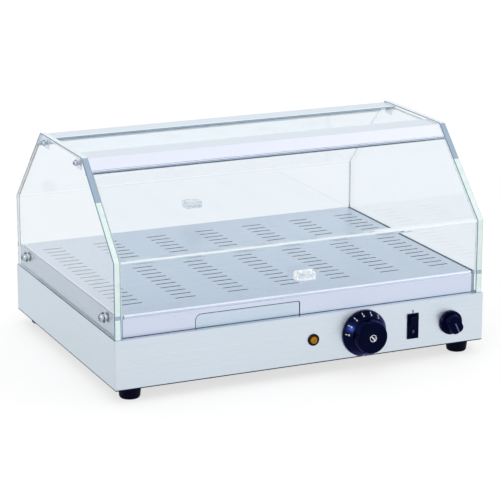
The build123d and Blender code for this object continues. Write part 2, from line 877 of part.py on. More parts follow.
# Clips that carry the elements: upright plates with two holes and a foot on the pan's floor
clip_height = element_rise + element_radius + clip_margin
with BuildPart() as element_clips:
    for clip_x in (-clip_spacing / 2, clip_spacing / 2):
        for center_y in element_centers:
            with BuildSketch(Plane.YZ.offset(clip_x)):
                with Locations((center_y, pan_floor)):
                    Rectangle(
                        element_leg_gap + 2 * (element_radius + clip_margin),
                        clip_height,
                        align=(Align.CENTER, Align.MIN),
                    )
                    with Locations((-element_leg_gap / 2, element_rise),
                                   (element_leg_gap / 2, element_rise)):
                        Circle(element_radius, mode=Mode.SUBTRACT)
            extrude(amount=clip_sheet)
            with BuildSketch(Plane.XY.offset(pan_floor)):
                with Locations((clip_x, center_y)):
                    Rectangle(clip_foot, element_leg_gap, align=(Align.MIN, Align.CENTER))
            extrude(amount=clip_sheet)
save(element_clips, "element_clips")

# Insulating mat lying on the bottom plate under the pan
with BuildPart() as insulation:
    with BuildSketch(Plane.XY.offset(plate_top)):
        with Locations((0, opening_y)):
            Rectangle(pan_width - 2 * mat_margin, pan_length - 2 * mat_margin)
    extrude(amount=mat_thickness)
save(insulation, "insulation")

# Pilot lamp
with BuildPart() as lamp_bezel:
    with BuildSketch(control_face(lamp_x)):
        Circle(bezel_radius)
        Circle(lamp_body_radius, mode=Mode.SUBTRACT)
    extrude(amount=bezel_height)
    rim_edges = lamp_bezel.faces().sort_by(Axis.Y)[0].edges()
    chamfer(rim_edges.sort_by(SortBy.RADIUS)[-1], bezel_chamfer)
save(lamp_bezel, "lamp_bezel")

with BuildPart() as lamp_lens:
    with BuildSketch(control_face(lamp_x)):
        Circle(lens_radius)
    extrude(amount=lens_reach)
    fillet(lamp_lens.faces().sort_by(Axis.Y)[0].edges(), lens_reach - bezel_height)
save(lamp_lens, "lamp_lens")

with BuildPart() as lamp_body:
    with BuildSketch(control_face(lamp_x)):
        Circle(lamp_body_radius)
    extrude(amount=-lamp_body_length)
save(lamp_body, "lamp_body")

# Thermostat, its screws, spindle, dial and cap
with BuildPart() as thermostat_body:
    with BuildSketch(control_face(dial_x, -steel)):
        Rectangle(thermostat_width, thermostat_height)
    extrude(amount=-thermostat_depth)
    fillet(thermostat_body.edges().filter_by(Axis.Y), steel)
    with BuildSketch(control_face(dial_x, -steel)):
        Circle(spindle_radius + spindle_clearance)
    extrude(amount=-spindle_depth - steel, mode=Mode.SUBTRACT)
    with BuildSketch(control_face(dial_x, -steel)):
        with Locations((-thermostat_screw_spacing / 2, 0), (thermostat_screw_spacing / 2, 0)):
            Circle(small_shank)
    extrude(amount=-thermostat_screw_length, mode=Mode.SUBTRACT)
save(thermostat_body, "thermostat_body")

body_screw = make_screw(small_shank, small_head, small_head_height, thermostat_screw_length)
thermostat_screws = set_at(
    body_screw,
    [control_face(dial_x + s * thermostat_screw_spacing / 2) for s in (-1, 1)],
)
save(thermostat_screws, "thermostat_screws")

spindle_top = dial_reach - cap_sunk
with BuildPart() as thermostat_spindle:
    with BuildSketch(control_face(dial_x, spindle_top)):
        Circle(spindle_radius)
    extrude(amount=-spindle_top - steel - spindle_depth)
save(thermostat_spindle, "thermostat_spindle")

with BuildPart() as dial:
    with BuildSketch(control_section(dial_x)):
        with BuildLine():
            Polyline(
                (0, control_gap),
                (dial_radius, control_gap),
                (dial_radius, control_gap + dial_rim),
                (dial_cone_radius, dial_cone_top),
                (dial_grip_radius, dial_cone_top),
                (dial_grip_radius, dial_reach),
                (0, dial_reach),
                close=True,
            )
        make_face()
    revolve(axis=control_axis(dial_x))
    fillet(dial.faces().sort_by(Axis.Y)[0].edges(), dial_edge_radius)
    with BuildSketch(control_face(dial_x, dial_cone_top)):
        scallop_reach = dial_grip_radius + dial_scallop_radius - dial_scallop_depth
        with PolarLocations(scallop_reach, dial_scallops, start_angle=dial_scallop_turn):
            Circle(dial_scallop_radius)
    extrude(amount=dial_reach, mode=Mode.SUBTRACT)
    with BuildSketch(control_face(dial_x, control_gap)):
        Circle(dial_hollow_radius)
        Circle(dial_hub_radius, mode=Mode.SUBTRACT)
    extrude(amount=dial_hollow_depth, mode=Mode.SUBTRACT)
    with BuildSketch(control_face(dial_x)):
        Circle(spindle_radius)
    extrude(amount=spindle_top, mode=Mode.SUBTRACT)
    with BuildSketch(control_face(dial_x, spindle_top)):
        Circle(cap_radius)
    extrude(amount=cap_sunk, mode=Mode.SUBTRACT)
save(dial, "dial")

with BuildPart() as dial_cap:
    with BuildSketch(control_face(dial_x, spindle_top)):
        Circle(cap_radius)
    extrude(amount=cap_height)
    fillet(dial_cap.faces().sort_by(Axis.Y)[0].edges(), (cap_height - cap_sunk) / 2)
    with BuildSketch(control_face(dial_x, spindle_top + cap_height)):
        Rectangle(2 * cap_radius, cap_slot_width, rotation=45)
    extrude(amount=-cap_slot_depth, mode=Mode.SUBTRACT)
save(dial_cap, "dial_cap")

# Rocker switch: a frame with its housing, and a rocker that tilts on two stub pins
with BuildPart() as switch_frame:
    with BuildSketch(control_face(rocker_x)):
        Rectangle(frame_width, frame_height)
    extrude(amount=frame_lip)
    fillet(switch_frame.faces().sort_by(Axis.Y)[0].edges(), frame_edge_radius)
    with BuildSketch(control_face(rocker_x)):
        Rectangle(housing_width, housing_height)
    extrude(amount=-housing_depth)
    with BuildSketch(control_face(rocker_x, frame_lip)):
        Rectangle(rocker_pocket_width, rocker_pocket_height)
    extrude(amount=-frame_lip - rocker_pocket_depth, mode=Mode.SUBTRACT)
    with BuildSketch(Plane.YZ.offset(rocker_x)):
        with Locations((-half_depth, control_level)):
            Circle(rocker_pin_radius + rocker_pin_gap)
    extrude(
        amount=rocker_width / 2 + rocker_pin_reach + rocker_pin_gap,
        both=True,
        mode=Mode.SUBTRACT,
    )
save(switch_frame, "switch_frame")

with BuildPart() as rocker:
    tilt = radians(rocker_tilt)
    rocker_pivot = (rocker_x, -half_depth, control_level)
    with BuildSketch(Plane(origin=rocker_pivot, x_dir=(0, -sin(tilt), cos(tilt)), z_dir=(1, 0, 0))):
        Circle(rocker_radius)
        with BuildLine():
            rocker_rise = rocker_crown + rocker_radius * tan(tilt)
            Polyline(
                (-rocker_radius, -rocker_back),
                (rocker_radius, -rocker_back),
                (rocker_radius, rocker_rise),
                (0, rocker_crown),
                (-rocker_radius, rocker_rise),
                close=True,
            )
        make_face(mode=Mode.INTERSECT)
    extrude(amount=rocker_width / 2, both=True)
    with BuildSketch(Plane.YZ.offset(rocker_x)):
        with Locations((-half_depth, control_level)):
            Circle(rocker_pin_radius)
    extrude(amount=rocker_width / 2 + rocker_pin_reach, both=True)
save(rocker, "rocker")

# Selector switch, its nut, spindle and pointer knob
with BuildPart() as selector_body:
    with BuildSketch(selector_face(-steel)):
        Rectangle(selector_body_size, selector_body_size)
    extrude(amount=-selector_body_depth)
    fillet(selector_body.edges().filter_by(Axis.Y), steel)
    with BuildSketch(selector_face(-steel)):
        Circle(selector_bush_radius)
    extrude(amount=steel + selector_bush_reach)
    with BuildSketch(selector_face(selector_bush_reach)):
        Circle(spindle_radius + spindle_clearance)
    extrude(amount=-selector_bush_reach - spindle_depth - steel, mode=Mode.SUBTRACT)
save(selector_body, "selector_body")

with BuildPart() as selector_nut:
    with BuildSketch(selector_face()):
        RegularPolygon(selector_nut_flats / sqrt(3), 6)
        Circle(selector_bush_radius, mode=Mode.SUBTRACT)
    extrude(amount=selector_nut_height)
save(selector_nut, "selector_nut")

with BuildPart() as selector_spindle:
    with BuildSketch(selector_face(selector_spindle_reach)):
        Circle(spindle_radius)
    extrude(amount=-selector_spindle_reach - spindle_depth)
save(selector_spindle, "selector_spindle")

selector_disc_top = control_gap + selector_disc_height
with BuildPart() as selector_knob:
    with BuildSketch(selector_face(control_gap)):
        Circle(selector_disc_radius)
    extrude(amount=selector_disc_height)
    fillet(selector_knob.faces().sort_by(Axis.Y)[0].edges(), selector_edge_radius)
    with BuildSketch(selector_face(selector_disc_top)):
        Circle(selector_hub_radius)
    extrude(amount=selector_hub_height, taper=selector_lever_taper)
    with BuildSketch(selector_face(selector_disc_top)):
        SlotOverall(selector_lever_length, selector_lever_width, rotation=selector_turn)
    extrude(amount=selector_reach - selector_disc_top, taper=selector_lever_taper)
    fillet(selector_knob.faces().sort_by(Axis.Y)[0].edges(), selector_edge_radius)
    with BuildSketch(selector_face(control_gap)):
        Circle(selector_hollow_radius)
    extrude(amount=selector_hollow_depth, mode=Mode.SUBTRACT)
    with BuildSketch(selector_face()):
        Circle(spindle_radius)
    extrude(amount=selector_spindle_reach, mode=Mode.SUBTRACT)
save(selector_knob, "selector_knob")

# Sensor bulb in the heater pan, its clips and its capillary from the thermostat
bulb_front = pan_front + bulb_setback
with BuildPart() as sensor_bulb:
    with BuildSketch(Plane.XZ.offset(-bulb_front)):
        with Locations((dial_x, bulb_level)):
            Circle(bulb_radius)
    extrude(amount=-bulb_length)
    fillet(sensor_bulb.edges(), bulb_end_radius)
save(sensor_bulb, "sensor_bulb")

with BuildPart() as bulb_clips:
    for clip_y in (-bulb_clip_spacing / 2, bulb_clip_spacing / 2):
        with BuildSketch(Plane.XZ.offset(-bulb_front - bulb_length / 2 - clip_y)):
            with Locations((dial_x, pan_floor)):
                Rectangle(
                    bulb_clip_width,
                    bulb_level + bulb_radius + bulb_clip_margin - pan_floor,
                    align=(Align.CENTER, Align.MIN),
                )
            with Locations((dial_x, bulb_level)):
                Circle(bulb_radius, mode=Mode.SUBTRACT)
        extrude(amount=clip_sheet)
save(bulb_clips, "bulb_clips")

capillary_start_y = -half_depth + steel + thermostat_depth
capillary_low = control_level + thermostat_height / 4
capillary_turn_y = (capillary_start_y + pan_front) / 2
with BuildPart() as capillary:
    with BuildLine():
        FilletPolyline(
            (dial_x, capillary_start_y, capillary_low),
            (dial_x, capillary_turn_y, capillary_low),
            (dial_x, capillary_turn_y, bulb_level),
            (dial_x, bulb_front, bulb_level),
            radius=capillary_bend,
        )
    with BuildSketch(Plane(origin=(dial_x, capillary_start_y, capillary_low), z_dir=(0, 1, 0))):
        Circle(capillary_radius)
    sweep()
save(capillary, "capillary")

# Terminal block and earth stud on the bottom plate
block_x = block_setback - half_width
block_y = -half_depth + front_ledge / 2
with BuildPart() as terminal_block:
    with BuildSketch(Plane.XY.offset(plate_top)):
        with Locations((block_x, block_y)):
            Rectangle(block_width, block_depth)
    extrude(amount=block_height)
    chamfer(terminal_block.edges().filter_by(Axis.X).group_by(Axis.Z)[-1], block_chamfer)
    with BuildSketch(Plane.XY.offset(plate_top + block_height)):
        with Locations((block_x, block_y)):
            with GridLocations(block_width / block_ways, 1, block_ways, 1):
                Circle(block_well_radius)
    extrude(amount=-block_well_depth, mode=Mode.SUBTRACT)
save(terminal_block, "terminal_block")

stud_length = bottom_plate_thickness + 2 * small_nut_height + thread_past_nut
stud_screw = make_screw(small_shank, small_head, small_head_height, stud_length)
stud_nut = make_nut(small_nut_flats, 2 * small_nut_height, small_shank)
earth_stud = set_at(stud_screw, [Plane(origin=(stud_x, stud_y, base_bottom), z_dir=(0, 0, -1))])
save(earth_stud, "earth_stud")
earth_nut = set_at(stud_nut, [Location((stud_x, stud_y, plate_top))])
save(earth_nut, "earth_nut")


def make_wire(points, first_direction):
    with BuildPart() as wire:
        with BuildLine():
            FilletPolyline(*points, radius=wire_bend)
        with BuildSketch(Plane(origin=points[0], z_dir=first_direction)):
            Circle(wire_radius)
        sweep()
    return wire


# Wiring: terminal block to rocker and selector, and selector to the elements' tails
wire_level = plate_top + wire_rise
wire_aisle = (pan_front - half_depth + steel + thermostat_depth) / 2
switch_back = -half_depth + housing_depth
selector_back = -half_depth + steel + selector_body_depth
block_end = block_x + block_width / 2
tail_aisle = (element_tail_x + half_width) / 2
supply_wire = make_wire(
    [
        (block_end, block_y, wire_level),
        (block_end + 2 * wire_bend, block_y, wire_level),
        (block_end + 4 * wire_bend, wire_aisle, wire_level),
        (rocker_x, wire_aisle, wire_level),
        (rocker_x, switch_back, wire_level),
    ],
    (1, 0, 0),
)
load_wire = make_wire(
    [
        (selector_x, selector_back, selector_level),
        (selector_x, wire_aisle, selector_level),
        (tail_aisle, wire_aisle + 2 * wire_bend, selector_level),
        (tail_aisle, element_legs[0], selector_level),
        (tail_aisle, element_legs[0], element_level - element_radius),
    ],
    (0, 1, 0),
)
with BuildPart() as wiring:
    add(supply_wire.part)
    add(load_wire.part)
save(wiring, "wiring")

# Cord gland through the back, and its lock nut inside
gland_face = Plane(origin=(gland_x, half_depth, control_level), x_dir=(-1, 0, 0), z_dir=(0, 1, 0))
with BuildPart() as cord_gland:
    with BuildSketch(gland_face):
        RegularPolygon(gland_flats / sqrt(3), 6)
    extrude(amount=gland_hex_height)
    with BuildSketch(gland_face.offset(gland_hex_height)):
        Circle(gland_dome_radius)
    extrude(amount=gland_reach - gland_hex_height)
    fillet(cord_gland.faces().sort_by(Axis.Y)[-1].edges(), gland_dome_radius / 2)
    with BuildSketch(gland_face):
        Circle(gland_thread_radius)
    extrude(amount=-gland_thread_length)
    with BuildSketch(gland_face.offset(gland_reach)):
        Circle(gland_bore_radius)
    extrude(amount=-gland_reach - gland_thread_length, mode=Mode.SUBTRACT)
save(cord_gland, "cord_gland")

gland_lock = make_nut(gland_nut_flats, gland_nut_height, gland_thread_radius)
gland_nut_place = Plane(origin=(gland_x, half_depth - steel, control_level), z_dir=(0, -1, 0))
gland_nut = set_at(gland_lock, [gland_nut_place])
save(gland_nut, "gland_nut")
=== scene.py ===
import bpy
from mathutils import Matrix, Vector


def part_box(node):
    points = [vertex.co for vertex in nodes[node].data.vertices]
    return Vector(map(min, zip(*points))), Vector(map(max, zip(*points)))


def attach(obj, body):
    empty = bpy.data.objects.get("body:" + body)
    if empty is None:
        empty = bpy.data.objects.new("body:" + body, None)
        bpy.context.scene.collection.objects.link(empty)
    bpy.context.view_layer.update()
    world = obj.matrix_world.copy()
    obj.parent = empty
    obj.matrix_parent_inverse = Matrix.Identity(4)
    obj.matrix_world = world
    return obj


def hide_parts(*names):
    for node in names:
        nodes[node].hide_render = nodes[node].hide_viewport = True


bl_info = {
    "name": "Heated display case",
    "version": (1, 0, 0),
    "blender": (4, 5, 0),
    "location": "View3D > Sidebar > Display case",
    "description": "Finishes a counter-top heated display case and sets it in a pale studio",
    "category": "Object",
}

from math import cos, pi, radians, sin

import bmesh
import bpy
from bpy.props import FloatProperty, FloatVectorProperty, PointerProperty
from mathutils import Matrix, Vector

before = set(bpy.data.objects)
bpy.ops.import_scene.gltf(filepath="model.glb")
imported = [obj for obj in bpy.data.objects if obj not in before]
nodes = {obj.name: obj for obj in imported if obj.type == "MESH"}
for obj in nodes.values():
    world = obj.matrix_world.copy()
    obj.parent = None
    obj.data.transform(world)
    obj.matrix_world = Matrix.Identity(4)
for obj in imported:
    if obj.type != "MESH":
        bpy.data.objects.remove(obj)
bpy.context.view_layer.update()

mm = 0.001
square_on = 0.9  # a normal's part along an axis, over which a face counts as square to it
acrylic_ior = 1.49
print_depth = 0.12  # thickness of a printed mark, in mm


# Places taken from the CAD nodes
def middle(node):
    """Middle of a node's box."""
    low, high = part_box(node)
    return (low + high) / 2


panel_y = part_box("front_wall")[0].y
base_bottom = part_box("front_wall")[0].z
base_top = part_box("front_wall")[1].z
deck_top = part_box("deck")[1].z
dial_place = middle("dial")
lamp_place = middle("lamp_bezel")
rocker_place = middle("switch_frame")
selector_place = middle("selector_spindle")


# Settings
def colour_property(name, description, default):
    return FloatVectorProperty(
        name=name, description=description, subtype="COLOR", min=0, max=1, default=default
    )


def length_property(name, description, default):
    return FloatProperty(name=name, description=description, unit="LENGTH", default=default)


class SteelSettings(bpy.types.PropertyGroup):
    base: colour_property("Base", "Colour of the brushed base", (0.635, 0.705, 0.775))
    # End walls painted darker than the front: painted shade.
    side: colour_property("Sides", "Colour of the base's end walls", (0.575, 0.655, 0.725))
    # Upstands painted darker still: painted shade behind the end panels.
    upstand_shade: colour_property("Upstands", "Colour of the upstands over the end walls", (0.43, 0.53, 0.65))
    deck: colour_property("Deck", "Colour of the deck from above", (0.58, 0.67, 0.78))
    # The deck's sides are painted lighter than its top: painted light on one sheet.
    skirt: colour_property("Skirt", "Colour of the deck's sides", (0.62, 0.675, 0.81))
    tray: colour_property("Tray", "Colour of the drip tray's face", (0.558, 0.653, 0.76))
    # Sloping flanges painted lighter than the flat ones: painted light.
    slope: colour_property("Rail slopes", "Colour of the rails' sloping flanges", (0.79, 0.825, 0.94))
    flange: colour_property("Rail tops", "Colour of the rails' flat flanges", (0.7, 0.765, 0.84))
    # A painted highlight along the rear rail's flange edge.
    strip: colour_property("Rail strip", "Colour of the rear rail's flange at its edge", (0.7, 0.88, 0.95))
    # Painted shade: a dark line for the shadow under the rear rail's flange edge.
    line: colour_property("Rail line", "Painted shade on the rear rail's cut edge", (0.25, 0.33, 0.36))
    # Painted highlights on the deck's bends and the base's rounded corners.
    bend: colour_property("Bends", "Painted highlight on the deck's bends and the base's corners", (0.9, 0.9, 0.98))
    # Painted shade in the slots, along the base's lowest edge and at the deck's foot.
    gap: colour_property("Gaps", "Painted shade in slots, along the base's lowest edge and at the deck's foot", (0.008, 0.018, 0.045))
    # The sheet metal inside is kept dark: painted shade.
    inside: colour_property("Inside", "Colour of the sheet metal under the deck", (0.12, 0.135, 0.16))
    grain: length_property("Grain", "Width of one brush line", 0.25 * mm)


class ClearSettings(bpy.types.PropertyGroup):
    tint: colour_property("Tint", "Colour of light through a sheet", (0.914, 0.944, 0.968))
    top_tint: colour_property("Top tint", "Colour of light through the top sheet", (0.84, 0.92, 0.96))
    edge: colour_property("Edge", "Colour of the cut edges", (0.86, 0.98, 0.97))
    edge_green: colour_property("Green edge", "Colour of the cut edges in patches", (0.77, 0.93, 0.9))
    # Painted shade: cut edges that look up are greyer.
    edge_up_shade: colour_property("Upper edge", "Colour of cut edges that look up", (0.78, 0.87, 0.92))
    fold: colour_property("Fold", "Colour of the light in the doors' folds", (0.94, 0.98, 1.0))
    glow: colour_property("Edge glow", "Light that the cut edges carry", (0.75, 1.0, 1.0))
    # Painted shade: dark chamfers along the cut edges, paler at the rear.
    outline: colour_property("Outline", "Colour of the cut edges' chamfers", (0.14, 0.22, 0.32))
    outline_rear_shade: colour_property("Rear outline", "Colour of the rear chamfers", (0.5, 0.6, 0.68))
    shade: colour_property("Shaded edge", "Colour high on the front edges", (0.33, 0.44, 0.58))
    shade_low: length_property("Shade starts", "Height where the shaded edge starts", 224 * mm)
    handle: colour_property("Handles", "Colour of the handle blocks", (0.94, 0.97, 1.0))


class ControlSettings(bpy.types.PropertyGroup):
    black: colour_property("Black", "Colour of the moulded knobs", (0.0015, 0.0025, 0.014))
    sheen: colour_property("Sheen", "Colour of the gloss on the knobs", (0.15, 0.28, 1.0))
    bezel: colour_property("Lamp bezel", "Colour of the pilot lamp's bezel", (0.01, 0.004, 0.004))
    amber: colour_property("Amber", "Colour of the pilot lamp's lens", (0.44, 0.18, 0.002))
    mark: colour_property("Marks", "Colour of the printed marks", (0.85, 0.9, 1.0))
    pointer: colour_property("Pointer", "Colour of the selector's line", (0.09, 0.11, 0.32))
    window: colour_property("Window", "Colour of the rocker's window", (0.008, 0.04, 0.035))


class StageSettings(bpy.types.PropertyGroup):
    camera_place: FloatVectorProperty(
        name="Camera",
        description="Where the camera stands",
        subtype="TRANSLATION",
        default=(-1.0504, -2.3669, 0.8318),
    )
    yaw: FloatProperty(
        name="Yaw", description="Turn to the right", subtype="ANGLE", default=radians(24.08)
    )
    pitch: FloatProperty(
        name="Pitch", description="Tilt down", subtype="ANGLE", default=radians(15.54)
    )
    lens: FloatProperty(
        name="Lens", description="Focal length on a 36 mm sensor", subtype="DISTANCE_CAMERA",
        default=155.3,
    )


# Finishes
class Finish:
    """A material being wired, with short calls for the nodes that the finishes share."""

    def __init__(self, name):
        self.material = bpy.data.materials.new(name)
        self.material.use_nodes = True
        self.tree = self.material.node_tree
        self.tree.nodes.clear()
        self.output = self.add("ShaderNodeOutputMaterial")
        self.shader = self.add("ShaderNodeBsdfPrincipled")
        self.feed(self.shader.outputs["BSDF"], self.output.inputs["Surface"])
        coordinates = self.add("ShaderNodeTexCoord")
        self.place = coordinates.outputs["Object"]
        self.at = self.parts(self.place)
        self.facing = self.parts(coordinates.outputs["Normal"])

    def add(self, kind, **settings):
        node = self.tree.nodes.new(kind)
        for name, value in settings.items():
            setattr(node, name, value)
        return node

    def feed(self, source, target):
        self.tree.links.new(source, target)

    def put(self, value, target):
        """Sets a plain value, or links a socket."""
        if isinstance(value, bpy.types.NodeSocket):
            self.feed(value, target)
        else:
            target.default_value = value

    def set(self, **values):
        for name, value in values.items():
            self.shader.inputs[name.replace("_", " ")].default_value = value

    def drive(self, name, source):
        self.feed(source, self.shader.inputs[name])

    def noise(self, size, stretch=(1, 1, 1), detail=3.0):
        """Noise with a grain of that size, drawn out along each axis."""
        mapping = self.add("ShaderNodeMapping")
        mapping.inputs["Scale"].default_value = [1 / (size * s) for s in stretch]
        noise = self.add("ShaderNodeTexNoise")
        noise.inputs["Scale"].default_value = 1.0
        noise.inputs["Detail"].default_value = detail
        self.feed(self.place, mapping.inputs["Vector"])
        self.feed(mapping.outputs["Vector"], noise.inputs["Vector"])
        return noise.outputs["Fac"]

    def spread(self, value, low, high, start=0.3, end=0.7):
        """A value between start and end, spread from low to high."""
        node = self.add("ShaderNodeMapRange")
        for name, number in zip(("From Min", "From Max", "To Min", "To Max"), (start, end, low, high)):
            node.inputs[name].default_value = number
        self.feed(value, node.inputs["Value"])
        return node.outputs["Result"]

    def sum(self, operation, *values):
        node = self.add("ShaderNodeMath", operation=operation)
        for value, target in zip(values, node.inputs):
            self.put(value, target)
        return node.outputs[0]

    def within(self, value, low, high):
        """1 where a value is between low and high, and 0 elsewhere."""
        half = (high - low) / 2
        return self.sum("COMPARE", value, low + half, half)

    def mix(self, factor, first, second):
        node = self.add("ShaderNodeMix", data_type="RGBA")
        self.put(factor, node.inputs[0])
        for value, target in ((first, node.inputs[6]), (second, node.inputs[7])):
            self.put(value if isinstance(value, bpy.types.NodeSocket) else (*value, 1), target)
        return node.outputs[2]

    def parts(self, vector):
        node = self.add("ShaderNodeSeparateXYZ")
        self.feed(vector, node.inputs[0])
        return node.outputs

    def paint(self, mask, colour):
        """Another colour where the mask is 1."""
        self.colour = self.mix(mask, self.colour, tuple(colour))
        self.drive("Base Color", self.colour)

    def both(self, *masks):
        """1 where every mask is 1."""
        product = masks[0]
        for mask in masks[1:]:
            product = self.sum("MULTIPLY", product, mask)
        return product

    def bump(self, height, distance, strength=1.0):
        node = self.add("ShaderNodeBump")
        node.inputs["Distance"].default_value = distance
        node.inputs["Strength"].default_value = strength
        self.feed(height, node.inputs["Height"])
        self.drive("Normal", node.outputs["Normal"])


def shaded(colour, amount):
    """The colour, lighter for an amount over 1 and darker under it."""
    return tuple(min(1.0, channel * amount) for channel in colour)


def brushed_finish(name, top, side, grain, drawn, roughness=0.3, contrast=0.04):
    """Sheet steel with fine brush lines, wider streaks along them and faint cloudy wear.

    top is the colour of faces that look up, side that of the others, and drawn says how far the
    lines are drawn out along each axis."""
    finish = Finish(name)
    lines = finish.noise(grain, drawn)
    streaks = finish.noise(8 * grain, drawn, 1.0)
    clouds = finish.noise(60 * mm, (1.4, 1.4, 0.7), 4.0)
    cloud_share, streak_share, line_share = 0.25, 0.35, 0.4
    tone = finish.sum("MULTIPLY", finish.spread(clouds, 0.0, 1.0), cloud_share)
    tone = finish.sum("MULTIPLY_ADD", finish.spread(streaks, 0.0, 1.0), streak_share, tone)
    tone = finish.sum("MULTIPLY_ADD", finish.spread(lines, 0.0, 1.0), line_share, tone)
    # Faces that look up take top and the others side; where these differ, that is painted light.
    upward = finish.sum("GREATER_THAN", finish.facing[2], square_on)
    dark, pale = [
        finish.mix(upward, shaded(side, amount), shaded(top, amount))
        for amount in (1 - contrast, 1 + contrast)
    ]
    finish.colour = finish.mix(tone, dark, pale)
    finish.set(Metallic=1.0)
    finish.drive("Base Color", finish.colour)
    finish.drive("Roughness", finish.spread(lines, roughness - 0.06, roughness + 0.08))
    finish.bump(lines, 0.01 * mm, 0.35)
    return finish


def moulded_finish(name, colour, roughness=0.35, grain=0.3 * mm, depth=0.01 * mm):
    """Moulded plastic or rubber with a fine grain and faint changes of gloss."""
    finish = Finish(name)
    fine = finish.noise(grain, detail=2.0)
    wide = finish.noise(12 * mm)
    changes = finish.spread(wide, 0.0, 1.0)
    finish.drive("Base Color", finish.mix(changes, shaded(colour, 0.85), shaded(colour, 1.15)))
    finish.drive("Roughness", finish.spread(wide, roughness - 0.05, roughness + 0.05))
    finish.bump(fine, depth, 0.5)
    return finish


def knob_finish(name, settings, roughness=0.3):
    """Blue-black moulding with a weak blue gloss."""
    finish = moulded_finish(name, tuple(settings.black), roughness)
    finish.set(Metallic=0.6, Specular_IOR_Level=0.12, Specular_Tint=(*settings.sheen, 1))
    return finish


def bright_finish(name, colour, roughness=0.08, rim_shade=(1, 1, 1)):
    """Plated or polished metal with faint wiping marks; the last argument tints its reflection seen from
    the side, and a dark tint there is painted shade.
    """
    finish = Finish(name)
    marks = finish.noise(1.5 * mm, (3, 1, 1))
    finish.drive("Base Color", finish.mix(marks, shaded(colour, 0.92), shaded(colour, 1.06)))
    finish.set(Metallic=1.0, Specular_Tint=(*rim_shade, 1))
    finish.drive("Roughness", finish.spread(marks, roughness, roughness + 0.1))
    return finish


def clear_finish(name, settings, tint, edge_mask, colour_edge=None):
    """Clear sheet: see-through faces, and pale cut edges where edge_mask(finish) is 1."""
    finish = Finish(name)
    edge = edge_mask(finish)
    patches = finish.spread(finish.noise(11 * mm, detail=4.0), 0.0, 1.0, 0.4, 0.58)
    edge_colour = finish.mix(patches, tuple(settings.edge_green), tuple(settings.edge))
    if colour_edge:
        edge_colour = colour_edge(finish, settings, edge_colour)
    finish.drive("Base Color", finish.mix(edge, tuple(tint), edge_colour))
    # The cut edges glow faintly by emission: painted light.
    edge_clearness, edge_roughness, edge_glow = 0.15, 0.25, 0.05
    clearness = finish.sum("MULTIPLY_ADD", edge, edge_clearness - 1, 1.0)
    finish.drive("Transmission Weight", clearness)
    finish.drive("Roughness", finish.sum("MULTIPLY", edge, edge_roughness))
    flat = finish.sum("GREATER_THAN", away_from_chamfers(finish), 0.92)
    finish.drive("Emission Strength", finish.both(edge, flat, edge_glow))
    finish.set(IOR=acrylic_ior, Emission_Color=(*settings.glow, 1))
    pass_shadows(finish)
    return finish


def away_from_chamfers(finish):
    """Near 1 on faces square to X or along it, and less on the chamfers between them."""
    across = finish.sum("ABSOLUTE", finish.facing[0])
    lying = finish.sum("MULTIPLY", across, across)
    return finish.sum("MAXIMUM", lying, finish.sum("SUBTRACT", 1.0, lying))


def pass_shadows(finish):
    """Lets the light through to what stands behind."""
    through = finish.add("ShaderNodeBsdfTransparent")
    rays = finish.add("ShaderNodeLightPath")
    mixed = finish.add("ShaderNodeMixShader")
    finish.feed(rays.outputs["Is Shadow Ray"], mixed.inputs[0])
    finish.feed(finish.shader.outputs["BSDF"], mixed.inputs[1])
    finish.feed(through.outputs["BSDF"], mixed.inputs[2])
    finish.feed(mixed.outputs[0], finish.output.inputs["Surface"])


def shaded_end_edge(finish, settings, colour):
    """Front edges with painted shade high up and at the deck, and on edges that look up, between chamfers
    painted dark as shade.
    """
    x, y, z = finish.at
    right_side = finish.sum("GREATER_THAN", x, 0.0)
    higher_at_right, rear_from = 6 * mm, 100 * mm
    start = finish.sum("MULTIPLY_ADD", right_side, higher_at_right, settings.shade_low)
    high = finish.sum("GREATER_THAN", z, start)
    at_deck = finish.within(z, deck_top - 4 * mm, deck_top + 1 * mm)
    front = finish.sum("LESS_THAN", finish.facing[1], -0.5)
    shade = finish.both(finish.sum("MAXIMUM", high, at_deck), front)
    colour = finish.mix(shade, colour, tuple(settings.shade))
    upward = finish.sum("GREATER_THAN", finish.facing[2], square_on)
    # Painted shade on edges that look up.
    colour = finish.mix(upward, colour, tuple(settings.edge_up_shade))
    chamfer = finish.within(finish.sum("ABSOLUTE", finish.facing[0]), 0.4, square_on)
    rear = finish.sum("GREATER_THAN", y, rear_from)
    # Chamfers painted dark as shade, paler at the rear.
    outline = finish.mix(rear, tuple(settings.outline), tuple(settings.outline_rear_shade))
    return finish.mix(chamfer, colour, outline)


def side_edges(finish):
    """Edges of a sheet that stands across X."""
    return finish.sum("LESS_THAN", finish.sum("ABSOLUTE", finish.facing[0]), square_on)


def door_edges(finish):
    """Ends and lower edge of the folded doors; fainter along the fold, as a painted highlight, and fainter
    on the rear door, as painted shade.
    """
    ends = finish.sum("GREATER_THAN", finish.sum("ABSOLUTE", finish.facing[0]), 0.5)
    lower = finish.sum("LESS_THAN", finish.facing[2], -0.95)
    # A painted highlight along the fold.
    fold_highlight = finish.sum("MULTIPLY", fold_line(finish), 0.65)
    edges = finish.sum("MAXIMUM", finish.sum("MAXIMUM", ends, lower), fold_highlight)
    front = finish.sum("LESS_THAN", finish.at[1], 0.0)
    # The rear door's edges are painted fainter: painted shade.
    rear_share = 0.18
    share = finish.sum("MULTIPLY_ADD", front, 1 - rear_share, rear_share)
    return finish.sum("MULTIPLY", edges, share)


def fold_line(finish):
    """1 along the middle of a door's fold, fading to 0 at both sides."""
    middle_of_fold = 0.36  # the normal's Z there
    upward = finish.sum("ABSOLUTE", finish.facing[2])
    away = finish.sum("ABSOLUTE", finish.sum("SUBTRACT", upward, middle_of_fold))
    return finish.spread(away, 1.0, 0.0, 0.05, 0.2)


def lit_fold(finish, settings, colour):
    """White light in the fold."""
    return finish.mix(fold_line(finish), colour, tuple(settings.fold))


def flat_edges(finish):
    """Edges of a sheet that lies flat."""
    return finish.sum("LESS_THAN", finish.sum("ABSOLUTE", finish.facing[2]), square_on)


